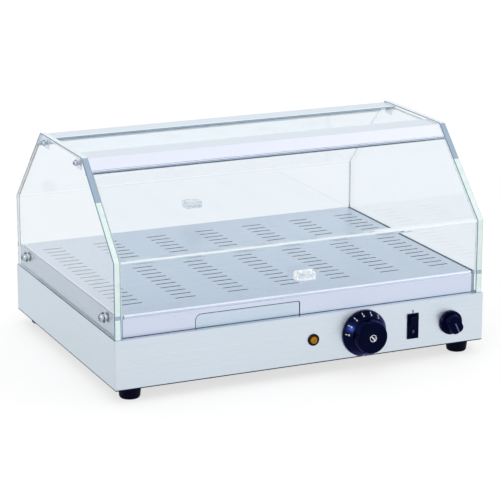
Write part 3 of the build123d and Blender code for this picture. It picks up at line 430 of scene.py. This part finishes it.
def block_finish(name, settings):
    """A clear sawn block, less clear in clouds towards its right, where the clouds also glow faintly as
    painted light.
    """
    finish = Finish(name)
    saw = finish.noise(0.8 * mm, (6, 1, 1))
    low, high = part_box("front_handle")
    clouds = finish.spread(finish.noise(5 * mm, detail=4.0), 0.25, 1.0)
    clear_share = 0.3
    right = finish.sum("GREATER_THAN", finish.at[0], low.x + clear_share * (high.x - low.x))
    milky_and_glowing = finish.both(right, clouds)
    colour = tuple(settings.handle)
    finish.drive("Base Color", finish.mix(saw, shaded(colour, 0.96), shaded(colour, 1.02)))
    finish.drive("Roughness", finish.spread(saw, 0.08, 0.16))
    finish.drive("Transmission Weight", finish.sum("MULTIPLY_ADD", milky_and_glowing, -0.35, 0.95))
    # The cloudy part glows faintly: painted light.
    finish.drive("Emission Strength", finish.sum("MULTIPLY_ADD", milky_and_glowing, 0.03, 0.01))
    finish.set(IOR=acrylic_ior, Emission_Color=(1, 1, 1, 1))
    pass_shadows(finish)
    return finish


# Modelling
def dress(node, finish):
    """Gives a CAD node its finish."""
    mesh = nodes[node].data
    mesh.materials.clear()
    mesh.materials.append(finish.material)


def deselect():
    bpy.ops.object.select_all(action="DESELECT")


def name_new(name, finish):
    """Names the piece just added and gives it its finish."""
    piece = bpy.context.object
    piece.name = name
    piece.data.name = name
    piece.data.materials.append(finish.material)
    return piece


def turned(name, finish, profile, sides=64):
    """A turned piece on Z: a disc drawn out ring by ring through (radius, height) in mm."""
    deselect()
    radius, height = profile[0]
    bpy.ops.mesh.primitive_circle_add(
        vertices=sides, radius=radius * mm, fill_type="NGON", location=(0, 0, height * mm)
    )
    piece = name_new(name, finish)
    bpy.ops.object.transform_apply(location=True, rotation=True, scale=True)
    bpy.ops.object.mode_set(mode="EDIT")
    bpy.ops.mesh.select_all(action="SELECT")
    for next_radius, next_height in profile[1:]:
        step = Vector((0, 0, (next_height - height) * mm))
        bpy.ops.mesh.extrude_region_move(TRANSFORM_OT_translate={"value": step})
        share = next_radius / radius
        centre = (0, 0, next_height * mm)
        bpy.ops.transform.resize(value=(share, share, 1), center_override=centre)
        radius, height = next_radius, next_height
    bpy.ops.mesh.select_all(action="SELECT")
    bpy.ops.mesh.normals_make_consistent(inside=False)
    bpy.ops.object.mode_set(mode="OBJECT")
    bpy.ops.object.shade_smooth_by_angle(angle=radians(32))
    return piece


def block(name, finish, size, centre=(0, 0, 0), bevel=0.0, segments=3):
    """A box of a size and middle in mm, with rounded edges."""
    deselect()
    bpy.ops.mesh.primitive_cube_add(size=1, location=Vector(centre) * mm)
    piece = name_new(name, finish)
    piece.scale = Vector(size) * mm
    bpy.ops.object.transform_apply(location=True, rotation=True, scale=True)
    if bevel:
        round_edges(piece, bevel, segments)
    return piece


def round_edges(piece, width, segments=3, angle=30):
    modifier = piece.modifiers.new("Round", "BEVEL")
    modifier.width = width * mm
    modifier.segments = segments
    modifier.limit_method = "ANGLE"
    modifier.angle_limit = radians(angle)
    bpy.ops.object.modifier_apply(modifier=modifier.name)
    bpy.ops.object.shade_smooth_by_angle(angle=radians(40))


def joined(name, pieces):
    """One object made of several."""
    deselect()
    for piece in pieces:
        piece.select_set(True)
    bpy.context.view_layer.objects.active = pieces[0]
    bpy.ops.object.join()
    pieces[0].name = name
    pieces[0].data.name = name
    return pieces[0]


def set_in(piece, place):
    """Moves a finished piece by a matrix, into its mesh."""
    deselect()
    piece.select_set(True)
    bpy.context.view_layer.objects.active = piece
    piece.matrix_world = place @ piece.matrix_world
    bpy.ops.object.transform_apply(location=True, rotation=True, scale=True)
    return piece


def copied(piece):
    """A copy with its own mesh."""
    deselect()
    piece.select_set(True)
    bpy.context.view_layer.objects.active = piece
    bpy.ops.object.duplicate()
    return bpy.context.object


def repeated(name, piece, places):
    """Copies of a piece at several places, as one object."""
    copies = [set_in(copied(piece), place) for place in places]
    bpy.data.objects.remove(piece)
    return joined(name, copies)


def control_place(middle_point):
    """Turns a piece made on Z to face the user, on the front panel at a control."""
    place = Matrix.Translation((middle_point.x, panel_y, middle_point.z))
    return place @ Matrix.Rotation(pi / 2, 4, "X")


def settle(piece, body, slot_name, *replaced):
    """Rides a new piece on its body and hides the nodes it stands for. Its slot_name is not used."""
    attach(piece, body)
    if replaced:
        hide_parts(*replaced)


# Pieces
class CASE_OT_steelwork(bpy.types.Operator):
    """Finishes the base, deck, rails, tray and the sheet metal inside"""

    bl_idname = "case.steelwork"
    bl_label = "Steelwork"

    def execute(self, context):
        settings = context.scene.case_steel
        grain = settings.grain
        long_lines = 480
        across = (long_lines, long_lines, 1)
        base_colour = tuple(settings.base)
        base = brushed_finish("Brushed base", base_colour, base_colour, grain, across, 0.32)
        self.mark_base(base, settings)
        flat = (long_lines, 1, long_lines)
        # The deck's top and sides get different colours: painted light.
        deck_colour, lit_skirt_colour = tuple(settings.deck), tuple(settings.skirt)
        deck = brushed_finish("Satin deck", deck_colour, lit_skirt_colour, grain, flat, 0.3, 0.02)
        self.mark_deck(deck, settings)
        tray_colour = tuple(settings.tray)
        tray = brushed_finish("Satin tray", tray_colour, tray_colour, grain, across, 0.3, 0.02)
        self.mark_foot(tray, settings)
        # The flat and sloping flanges get different colours: painted light.
        flange_colour, lit_slope_colour = tuple(settings.flange), tuple(settings.slope)
        length = (long_lines, 1, 1)
        rail = brushed_finish("Satin rail", flange_colour, lit_slope_colour, grain, length, 0.34, 0.015)
        self.mark_rail(rail, settings)
        # Painted shade: the sheet metal inside is dark.
        dark = tuple(settings.inside)
        inner = brushed_finish("Mill sheet", dark, dark, grain, (300, 2, 1), 0.42, 0.1)
        for node, finish in {
            "front_wall": base,
            "rear_wall": base,
            "left_wall": base,
            "right_wall": base,
            "deck": deck,
            "drip_tray": tray,
            "front_rail": rail,
            "rear_rail": rail,
            "bottom_plate": inner,
            "heater_pan": inner,
            "tray_runners": inner,
            "element_clips": inner,
            "bulb_clips": inner,
        }.items():
            dress(node, finish)
        return {"FINISHED"}

    def mark_base(self, finish, settings):
        """Painted shade on the end walls and upstands, painted highlights on the rounded corners, the
        seams behind the corners, and painted shade along the walls' lowest edge.
        """
        y, z = finish.at[1], finish.at[2]
        across, along = [finish.sum("ABSOLUTE", finish.facing[axis]) for axis in (0, 1)]
        end_wall = finish.sum("GREATER_THAN", across, square_on)
        turning = (0.15, 0.95)
        corner_highlight = finish.both(finish.within(across, *turning), finish.within(along, *turning))
        # Painted shade: the end walls darker than the front.
        finish.paint(end_wall, settings.side)
        # Painted shade: the upstands darker still.
        finish.paint(finish.sum("GREATER_THAN", z, base_top), settings.upstand_shade)
        # Painted highlight on the rounded corners.
        finish.paint(corner_highlight, shaded(settings.bend, 0.68))
        away, half_depth, bottom_shade_height = finish.sum("ABSOLUTE", y), -panel_y, 1.2 * mm
        seam = finish.within(away, half_depth - 5.5 * mm, half_depth - 4.8 * mm)
        finish.paint(finish.both(seam, end_wall), shaded(settings.base, 0.7))
        # Painted shade along the walls' lowest edge.
        finish.paint(finish.within(z, base_bottom - 1 * mm, base_bottom + bottom_shade_height), settings.gap)

    def mark_deck(self, finish, settings):
        """Painted highlights on the bends, and painted shade on the slot walls and lower edges."""
        z = finish.at[2]
        upward = finish.sum("ABSOLUTE", finish.facing[2])
        # Painted highlight on the bends.
        finish.paint(finish.within(upward, 0.2, 0.9), settings.bend)
        thickness = 1.15 * mm
        sheet = finish.within(z, deck_top - thickness, deck_top - 0.01 * mm)
        # Painted shade on the slot walls.
        finish.paint(finish.both(sheet, finish.sum("LESS_THAN", upward, 0.45)), settings.gap)
        self.mark_foot(finish, settings)

    def mark_foot(self, finish, settings):
        """The lowest half millimetre above the base, in its own shadow."""
        foot = finish.within(finish.at[2], base_top - 1 * mm, base_top + 0.6 * mm)
        finish.paint(foot, shaded(settings.gap, 1.5))

    def mark_rail(self, finish, settings):
        """Painted shade on the rear rail's cut edge, a painted highlight on the strip behind it, and
        downward faces painted paler, as painted light.
        """
        low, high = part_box("rear_rail")
        shade_line_width, highlight_width = 0.9 * mm, 6 * mm
        edge = finish.both(
            finish.sum("LESS_THAN", finish.facing[1], -square_on),
            finish.sum("GREATER_THAN", finish.at[2], high.z - shade_line_width),
        )
        # Painted shade on the flange's cut edge.
        finish.paint(edge, settings.line)
        strip = finish.both(
            finish.within(finish.at[1], low.y, low.y + highlight_width),
            finish.sum("GREATER_THAN", finish.facing[2], square_on),
        )
        # Painted highlight on the strip behind it.
        finish.paint(strip, settings.strip)
        # Downward faces painted paler: painted light.
        finish.paint(finish.sum("LESS_THAN", finish.facing[2], -0.3), shaded(settings.slope, 1.02))


class CASE_OT_clear_sheets(bpy.types.Operator):
    """Finishes the end panels, top panel, doors and handles in clear sheet"""

    bl_idname = "case.clear_sheets"
    bl_label = "Clear sheets"

    def execute(self, context):
        settings = context.scene.case_clear
        ends = clear_finish("Clear end panel", settings, settings.tint, side_edges, shaded_end_edge)
        doors = clear_finish("Clear door", settings, settings.tint, door_edges, lit_fold)
        top = clear_finish("Clear top", settings, settings.top_tint, flat_edges)
        handles = block_finish("Clear handle", settings)
        for node, finish in {
            "left_end_panel": ends,
            "right_end_panel": ends,
            "top_panel": top,
            "front_door": doors,
            "rear_door": doors,
            "front_handle": handles,
            "rear_handle": handles,
        }.items():
            dress(node, finish)
        return {"FINISHED"}


class CASE_OT_fasteners(bpy.types.Operator):
    """Models the dome nuts and finishes the screws, washers, rods and spindles"""

    bl_idname = "case.fasteners"
    bl_label = "Fasteners"

    def execute(self, context):
        # The plating's dark tint seen from the side is painted shade round the edges of nuts and screws.
        bright = bright_finish("Bright plating", (0.5, 0.54, 0.58), 0.1, (0.1, 0.1, 0.12))
        for node in (
            "end_panel_washers", "end_panel_bolts", "rail_screws", "bottom_screws", "foot_screws",
            "foot_nuts", "thermostat_screws", "earth_stud", "earth_nut", "thermostat_spindle",
            "selector_spindle", "selector_nut", "sensor_bulb",
        ):
            dress(node, bright)
        # Steel rods, darkened as painted shade under the rails.
        rod = bright_finish("Rod steel", (0.33, 0.41, 0.56), 0.25)
        for node in ("front_hinge_rod", "rear_hinge_rod"):
            dress(node, rod)
        for node, name in (("end_panel_nuts", "End_panel_dome_nuts"), ("rail_nuts", "Rail_dome_nuts")):
            self.dome_nuts(node, name, bright)
        return {"FINISHED"}

    def dome_nuts(self, node, name, finish):
        """Four low dome nuts, two at each end, as wide as their node's."""
        low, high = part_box(node)
        flats, tall = self.nut_size(node)
        reach_share, hexagon_share = 0.6, 0.36
        reach = reach_share * tall
        hexagon = hexagon_share * reach
        across = flats / 2 / cos(pi / 6)
        nut = turned(
            name, finish,
            [(across - 0.4, 0), (across, 0.3), (across, hexagon - 0.4), (across - 0.5, hexagon)],
            sides=6,
        )
        bpy.ops.object.shade_flat()
        dome_radius = flats / 2 - 0.4
        steps = 10
        arc = [
            (max(dome_radius * cos(i * pi / 2 / steps), 0.1),
             hexagon - 0.05 + (reach - hexagon) * sin(i * pi / 2 / steps))
            for i in range(steps + 1)
        ]
        dome = turned(name + "_dome", finish, arc, sides=32)
        nut = joined(name, [nut, dome])
        places = []
        for side in (-1, 1):
            face = side * ((high.x - low.x) / 2 - tall * mm)
            for y in (low.y + across * mm, high.y - across * mm):
                turn = Matrix.Rotation(side * pi / 2, 4, "Y")
                places.append(Matrix.Translation((face, y, (low.z + high.z) / 2)) @ turn)
        nuts = repeated(name, nut, places)
        settle(nuts, "base", "bright_fasteners", node)

    def nut_size(self, node):
        """Width across the flats, and height, in mm."""
        low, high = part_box(node)
        across = (high.z - low.z) / mm
        inner = min(abs(vertex.co.x) for vertex in nodes[node].data.vertices)
        return across * cos(pi / 6), (high.x - inner) / mm


class CASE_OT_dial(bpy.types.Operator):
    """Models the thermostat dial, its marks and its centre screw"""

    bl_idname = "case.dial"
    bl_label = "Dial"

    def execute(self, context):
        settings = context.scene.case_controls
        black = knob_finish("Black dial", settings)
        place = control_place(dial_place)
        dial = turned(
            "Dial", black,
            [
                (28.0, 0.8), (28.5, 1.2), (28.5, 3.0), (28.3, 3.6), (22.0, 12.4), (21.5, 12.9),
                (21.0, 13.0), (20.6, 13.4), (20.4, 18.0), (20.1, 21.8), (19.4, 23.4), (18.2, 24.2),
                (16.5, 24.5), (14.0, 24.4), (8.0, 23.5), (6.2, 23.0), (5.3, 22.7), (4.7, 22.6),
            ],
            120,
        )
        self.flute(dial)
        settle(set_in(dial, place), "dial", "black_gloss", "dial")

        bright = bright_finish("Screw plating", (0.85, 0.86, 0.9), 0.12)
        screw = turned(
            "Dial_screw", bright,
            [(4.5, 22.6), (4.6, 23.0), (4.6, 24.6), (4.4, 25.0), (4.0, 25.1), (3.8, 24.8), (3.7, 23.4)],
            48,
        )
        # The screw's black middle is painted shade in its recess.
        recess = turned("Dial_screw_recess", black, [(3.4, 22.9), (3.4, 23.5), (0.6, 23.5)], 48)
        blade = block("Dial_screw_blade", bright, (7.0, 1.3, 1.2), (0, 0, 24.2), 0.25)
        slot_turn = radians(-48)
        blade = set_in(blade, Matrix.Rotation(slot_turn, 4, "Z"))
        screw = joined("Dial_screw", [screw, recess, blade])
        settle(set_in(screw, place), "dial", "bright_fasteners", "dial_cap")

        marks = self.marks(settings)
        settle(set_in(marks, place), "dial", "black_gloss")
        return {"FINISHED"}

    def flute(self, dial):
        """Cuts the five shallow flutes of the grip."""
        deselect()
        radius, depth, centre = 8.5 * mm, 12 * mm, (27.6 * mm, 0, 19.15 * mm)
        bpy.ops.mesh.primitive_cylinder_add(vertices=48, radius=radius, depth=depth, location=centre)
        cutter = bpy.context.object
        bpy.ops.object.transform_apply(location=True, rotation=True, scale=True)
        count, first = 5, -45
        turns = [Matrix.Rotation(radians(360 / count * i + first), 4, "Z") for i in range(count)]
        flutes = repeated("Flutes", cutter, turns)
        deselect()
        dial.select_set(True)
        bpy.context.view_layer.objects.active = dial
        cut = dial.modifiers.new("Flutes", "BOOLEAN")
        cut.object = flutes
        cut.operation = "DIFFERENCE"
        cut.solver = "EXACT"
        bpy.ops.object.modifier_apply(modifier=cut.name)
        bpy.ops.object.shade_smooth_by_angle(angle=radians(32))
        bpy.data.objects.remove(flutes)

    def marks(self, settings):
        """Numbers and ticks on the cone, read from outside towards the middle."""
        white = moulded_finish("Dial print", tuple(settings.mark), 0.5)
        labels = {174: "30", 150: "45", 126: "60", 102: "75", 78: "90", 54: "110", -97: "0"}
        slope = Matrix.Rotation(radians(54.4), 4, "Y")
        flip = Matrix.Rotation(pi, 4, "Z")
        on_cone = Matrix.Translation((24.5 * mm, 0, 8.93 * mm)) @ slope
        by_rim = Matrix.Translation((26.6 * mm, 0, 6.0 * mm)) @ slope
        pieces = []
        for angle, label in labels.items():
            spin = Matrix.Rotation(radians(angle), 4, "Z")
            deselect()
            bpy.ops.object.text_add()
            text = bpy.context.object
            text.data.body = label
            text.data.size = 2.6 * mm
            text.data.extrude = 0.06 * mm
            text.data.offset = 0.06 * mm
            text.data.align_x = "CENTER"
            text.data.align_y = "CENTER"
            bpy.ops.object.convert(target="MESH")
            text = name_new("Mark" + label, white)
            text_place = spin @ on_cone @ flip
            pieces.append(set_in(text, text_place))
            tick = block("Tick" + label, white, (2.6, 0.8, print_depth))
            pieces.append(set_in(tick, spin @ by_rim))
        return joined("Dial_marks", pieces)


class CASE_OT_lamp(bpy.types.Operator):
    """Models the pilot lamp's bezel and its faceted lens"""

    bl_idname = "case.lamp"
    bl_label = "Pilot lamp"

    def execute(self, context):
        settings = context.scene.case_controls
        place = control_place(lamp_place)
        black = moulded_finish("Lamp bezel", tuple(settings.bezel), 0.25)
        black.set(Specular_IOR_Level=0.1)
        bezel = turned(
            "Lamp_bezel", black,
            [(7.3, 0), (7.3, 1.0), (7.0, 1.6), (6.5, 2.0), (5.4, 2.0), (4.8, 1.6), (4.6, 1.0)],
        )
        settle(set_in(bezel, place), "base", "black_gloss", "lamp_bezel")

        amber = self.amber(settings)
        lens = turned(
            "Lamp_lens", amber,
            [(4.5, 0.8), (4.5, 1.8), (4.1, 3.0), (3.0, 3.9), (2.0, 4.3), (1.8, 3.9)],
            10,
        )
        bpy.ops.object.shade_flat()
        settle(set_in(lens, place), "base", "amber_lens", "lamp_lens")
        return {"FINISHED"}

    def amber(self, settings):
        finish = Finish("Amber lens")
        clouds = finish.noise(3 * mm)
        colour = tuple(settings.amber)
        finish.drive("Base Color", finish.mix(clouds, shaded(colour, 0.6), shaded(colour, 1.4)))
        finish.set(Roughness=0.25, IOR=acrylic_ior, Transmission_Weight=0.25, Specular_IOR_Level=0.06)
        finish.set(Emission_Color=(*colour, 1), Emission_Strength=0.12)
        return finish


class CASE_OT_switches(bpy.types.Operator):
    """Finishes the rocker switch and models its window, its tick and the selector's knob"""

    bl_idname = "case.switches"
    bl_label = "Switches"

    def execute(self, context):
        settings = context.scene.case_controls
        black = knob_finish("Black switch", settings, 0.32)
        for node in ("switch_frame", "rocker"):
            dress(node, black)
        green = moulded_finish("Green window", tuple(settings.window), 0.2)
        print_black = moulded_finish("Black print", (0.004, 0.004, 0.01), 0.6)
        print_black.set(Specular_IOR_Level=0.1)
        self.rocker_window(green)
        tick = block("Switch_tick", print_black, (1.4, 3.6, print_depth), (0, 18.4, 0.05))
        settle(set_in(tick, control_place(rocker_place)), "base", "black_gloss")
        self.knob(settings, black)
        return {"FINISHED"}

    def rocker_window(self, green):
        """A small window set in the lower half of the rocker."""
        window = block("Rocker_window", green, (2.6, 4.0, 0.5), bevel=0.2)
        tilt = Matrix.Rotation(radians(9.5), 4, "X")
        place = control_place(rocker_place) @ Matrix.Translation((0, -6.5 * mm, 1.95 * mm))
        settle(set_in(window, place @ tilt), "rocker", "black_gloss")

    def knob(self, settings, black):
        """A round skirt with a tapered lever across it, and a pale pointer line."""
        place = control_place(selector_place)
        skirt = turned(
            "Selector_knob", black,
            [
                (14.3, 0.8), (14.75, 1.3), (14.75, 3.2), (14.3, 3.8), (13.6, 4.0), (11.4, 4.1),
                (11.0, 4.5), (10.8, 6.8), (10.4, 7.0), (4.0, 7.0),
            ],
            72,
        )
        lever = self.lever(black)
        blue = moulded_finish("Pointer print", tuple(settings.pointer), 0.4)
        line = block("Selector_line", blue, (13.0, 1.3, 0.2), (3.6, 0, 15.52))
        pointer_turn = radians(-64)
        aim = Matrix.Rotation(pointer_turn, 4, "Z")
        knob = joined("Selector_knob", [skirt, set_in(lever, aim)])
        settle(set_in(knob, place), "selector", "black_gloss", "selector_knob")
        settle(set_in(line, place @ aim), "selector", "black_gloss")

    def lever(self, black):
        """The knob's grip: a block with round ends, narrower at its top."""
        foot, top = 4.0, 15.5
        middle_z = (foot + top) / 2
        lever = block("Selector_lever", black, (23.0, 18.0, top - foot), (0, 0, middle_z))
        bpy.ops.object.mode_set(mode="EDIT")
        bpy.ops.mesh.select_mode(type="EDGE")
        bpy.ops.mesh.select_all(action="DESELECT")
        mesh = bmesh.from_edit_mesh(lever.data)
        for edge in mesh.edges:
            first, second = edge.verts
            upright = abs(first.co.z - second.co.z) > 10 * mm
            edge.select_set(upright)
        bmesh.update_edit_mesh(lever.data)
        bpy.ops.mesh.bevel(offset=6.5 * mm, segments=10, affect="EDGES")
        bpy.ops.mesh.select_mode(type="FACE")
        bpy.ops.mesh.select_all(action="DESELECT")
        mesh = bmesh.from_edit_mesh(lever.data)
        for face in mesh.faces:
            face.select_set(face.normal.z > square_on)
        bmesh.update_edit_mesh(lever.data)
        bpy.ops.transform.resize(value=(0.94, 0.92, 1), center_override=(0, 0, top * mm))
        bpy.ops.object.mode_set(mode="OBJECT")
        round_edges(lever, 1.0, 3)
        return lever


class CASE_OT_feet(bpy.types.Operator):
    """Models the four tapered rubber feet"""

    bl_idname = "case.feet"
    bl_label = "Feet"

    def execute(self, context):
        rubber = moulded_finish("Foot rubber", (0.001, 0.001, 0.012), 0.55, 0.4 * mm, 0.03 * mm)
        rubber.set(Specular_IOR_Level=0.04)
        low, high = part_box("feet")
        height = (high.z - low.z) / mm
        foot_radius = 14.0
        foot = turned(
            "Foot", rubber,
            [
                (5.5, 0.4), (5.9, 0.05), (9.6, 0.0), (10.9, 0.45), (11.9, 1.4), (12.3, 2.6),
                (13.6, height - 2.2), (foot_radius, height - 1.6), (foot_radius, height),
            ],
            56,
        )
        half = foot_radius * mm
        places = [
            Matrix.Translation((x, y, low.z))
            for x in (low.x + half, high.x - half)
            for y in (low.y + half, high.y - half)
        ]
        feet = repeated("Rubber_feet", foot, places)
        settle(feet, "base", "foot_rubber", "feet")
        return {"FINISHED"}


class CASE_OT_inner_parts(bpy.types.Operator):
    """Finishes the parts inside the base and at its back"""

    bl_idname = "case.inner_parts"
    bl_label = "Inner parts"

    def execute(self, context):
        white = moulded_finish("White moulding", (0.8, 0.8, 0.77), 0.45)
        black = moulded_finish("Black moulding", (0.02, 0.02, 0.024), 0.5)
        brown = (0.3, 0.27, 0.25)
        sheath = brushed_finish("Element sheath", brown, brown, 0.5 * mm, (30, 1, 1), 0.45, 0.2)
        copper = bright_finish("Drawn copper", (0.75, 0.4, 0.24), 0.25)
        felt = moulded_finish("Mineral felt", (0.82, 0.8, 0.74), 0.95, 1.2 * mm, 0.6 * mm)
        sleeve = moulded_finish("Wire sleeve", (0.62, 0.6, 0.55), 0.6)
        for node, finish in {
            "lamp_body": white,
            "terminal_block": white,
            "thermostat_body": black,
            "selector_body": black,
            "cord_gland": black,
            "gland_nut": black,
            "front_element": sheath,
            "rear_element": sheath,
            "capillary": copper,
            "insulation": felt,
            "wiring": sleeve,
        }.items():
            dress(node, finish)
        return {"FINISHED"}


# Stage
class CASE_OT_stage(bpy.types.Operator):
    """Sets the floor, the lights, the surroundings and the camera"""

    bl_idname = "case.stage"
    bl_label = "Stage"

    def execute(self, context):
        settings = context.scene.case_stage
        self.floor()
        self.surroundings(context.scene)
        self.softbox("Key softbox", (-1.9, -1.7, 2.0), 2.6, 26)
        self.softbox("Fill softbox", (1.9, -1.4, 1.5), 2.2, 10)
        self.softbox("Top softbox", (0.2, 0.7, 2.6), 2.4, 12).visible_glossy = False
        self.gloss_on_controls()
        self.camera(context.scene, settings)
        return {"FINISHED"}

    def floor(self):
        """Near white to the eye, a little dimmer round the case, where its shadow falls."""
        deselect()
        bpy.ops.mesh.primitive_plane_add(size=24, location=(0, 0, 0))
        finish = Finish("Pale floor")
        rays = finish.add("ShaderNodeLightPath")
        seen = finish.sum("ADD", rays.outputs["Is Camera Ray"], rays.outputs["Is Glossy Ray"])
        seen = finish.sum("ADD", seen, rays.outputs["Is Transmission Ray"])
        seen = finish.sum("MINIMUM", seen, 1.0)
        as_light, to_the_eye = (0.81, 0.81, 0.81), (0.3, 0.3, 0.3)
        finish.drive("Base Color", finish.mix(seen, as_light, to_the_eye))
        finish.set(Roughness=0.8, Emission_Color=(1, 1, 1, 1))
        x, y = finish.at[0], finish.at[1]
        away = finish.sum("SQRT", finish.sum("MULTIPLY_ADD", x, x, finish.sum("MULTIPLY", y, y)))
        near_glow, far_glow, near, far = 0.68, 0.8, 0.8, 3.5
        glow = finish.spread(away, near_glow, far_glow, near, far)
        finish.drive("Emission Strength", finish.sum("MULTIPLY", seen, glow))
        name_new("Floor", finish)

    def surroundings(self, scene):
        """White to the eye, and a little dimmer as a light."""
        world = bpy.data.worlds.new("Studio")
        scene.world = world
        world.use_nodes = True
        tree = world.node_tree
        tree.nodes.clear()
        output = tree.nodes.new("ShaderNodeOutputWorld")
        backdrop = tree.nodes.new("ShaderNodeBackground")
        rays = tree.nodes.new("ShaderNodeLightPath")
        strength = tree.nodes.new("ShaderNodeMapRange")
        seen, as_light = 1.0, 0.72
        strength.inputs["To Min"].default_value = seen
        strength.inputs["To Max"].default_value = as_light
        tree.links.new(rays.outputs["Is Diffuse Ray"], strength.inputs["Value"])
        tree.links.new(strength.outputs["Result"], backdrop.inputs["Strength"])
        backdrop.inputs["Color"].default_value = (1, 1, 1, 1)
        tree.links.new(backdrop.outputs[0], output.inputs["Surface"])

    def softbox(self, name, place, size, power):
        light = bpy.data.lights.new(name, "AREA")
        light.size = size
        light.energy = power
        lamp = bpy.data.objects.new(name, light)
        lamp.location = place
        case_middle = Vector((0, 0, 0.12))
        aim = case_middle - Vector(place)
        lamp.rotation_euler = aim.to_track_quat("-Z", "Y").to_euler()
        bpy.context.scene.collection.objects.link(lamp)
        return lamp

    def gloss_on_controls(self):
        """A small lamp at the left that only the dial and the selector show, as a blue gloss."""
        lamp = self.softbox("Side softbox", (-1.93, -0.69, 0.8), 0.5, 90)
        lamp.visible_diffuse = False
        lamp.visible_transmission = False
        controls = bpy.data.collections.new("Controls")
        for name in ("Dial", "Selector_knob"):
            controls.objects.link(bpy.data.objects[name])
        lamp.light_linking.receiver_collection = controls

    def camera(self, scene, settings):
        data = bpy.data.cameras.new("Camera")
        data.sensor_width = 36
        data.lens = settings.lens
        camera = bpy.data.objects.new("Camera", data)
        camera.location = settings.camera_place
        camera.rotation_euler = (pi / 2 - settings.pitch, 0, -settings.yaw)
        scene.collection.objects.link(camera)
        scene.camera = camera


# Add-on
operators = (
    CASE_OT_steelwork,
    CASE_OT_clear_sheets,
    CASE_OT_fasteners,
    CASE_OT_dial,
    CASE_OT_lamp,
    CASE_OT_switches,
    CASE_OT_feet,
    CASE_OT_inner_parts,
    CASE_OT_stage,
)


class CASE_PT_panel(bpy.types.Panel):
    """Lists the case's settings and pieces"""

    bl_label = "Display case"
    bl_idname = "CASE_PT_panel"
    bl_space_type = "VIEW_3D"
    bl_region_type = "UI"
    bl_category = "Display case"

    def draw(self, context):
        for group in ("case_steel", "case_clear", "case_controls", "case_stage"):
            settings = getattr(context.scene, group)
            box = self.layout.box()
            for name in type(settings).__annotations__:
                box.prop(settings, name)
        for operator in operators:
            self.layout.operator(operator.bl_idname)


groups = {
    "case_steel": SteelSettings,
    "case_clear": ClearSettings,
    "case_controls": ControlSettings,
    "case_stage": StageSettings,
}


def register():
    for name, group in groups.items():
        bpy.utils.register_class(group)
        setattr(bpy.types.Scene, name, PointerProperty(type=group))
    for operator in operators:
        bpy.utils.register_class(operator)
    bpy.utils.register_class(CASE_PT_panel)


def unregister():
    bpy.utils.unregister_class(CASE_PT_panel)
    for operator in reversed(operators):
        bpy.utils.unregister_class(operator)
    for name, group in groups.items():
        delattr(bpy.types.Scene, name)
        bpy.utils.unregister_class(group)


def main():
    register()
    bpy.context.scene.view_settings.view_transform = "Standard"
    bpy.ops.case.steelwork()
    bpy.ops.case.clear_sheets()
    bpy.ops.case.fasteners()
    bpy.ops.case.dial()
    bpy.ops.case.lamp()
    bpy.ops.case.switches()
    bpy.ops.case.feet()
    bpy.ops.case.inner_parts()
    bpy.ops.case.stage()


if __name__ == "__main__":
    main()
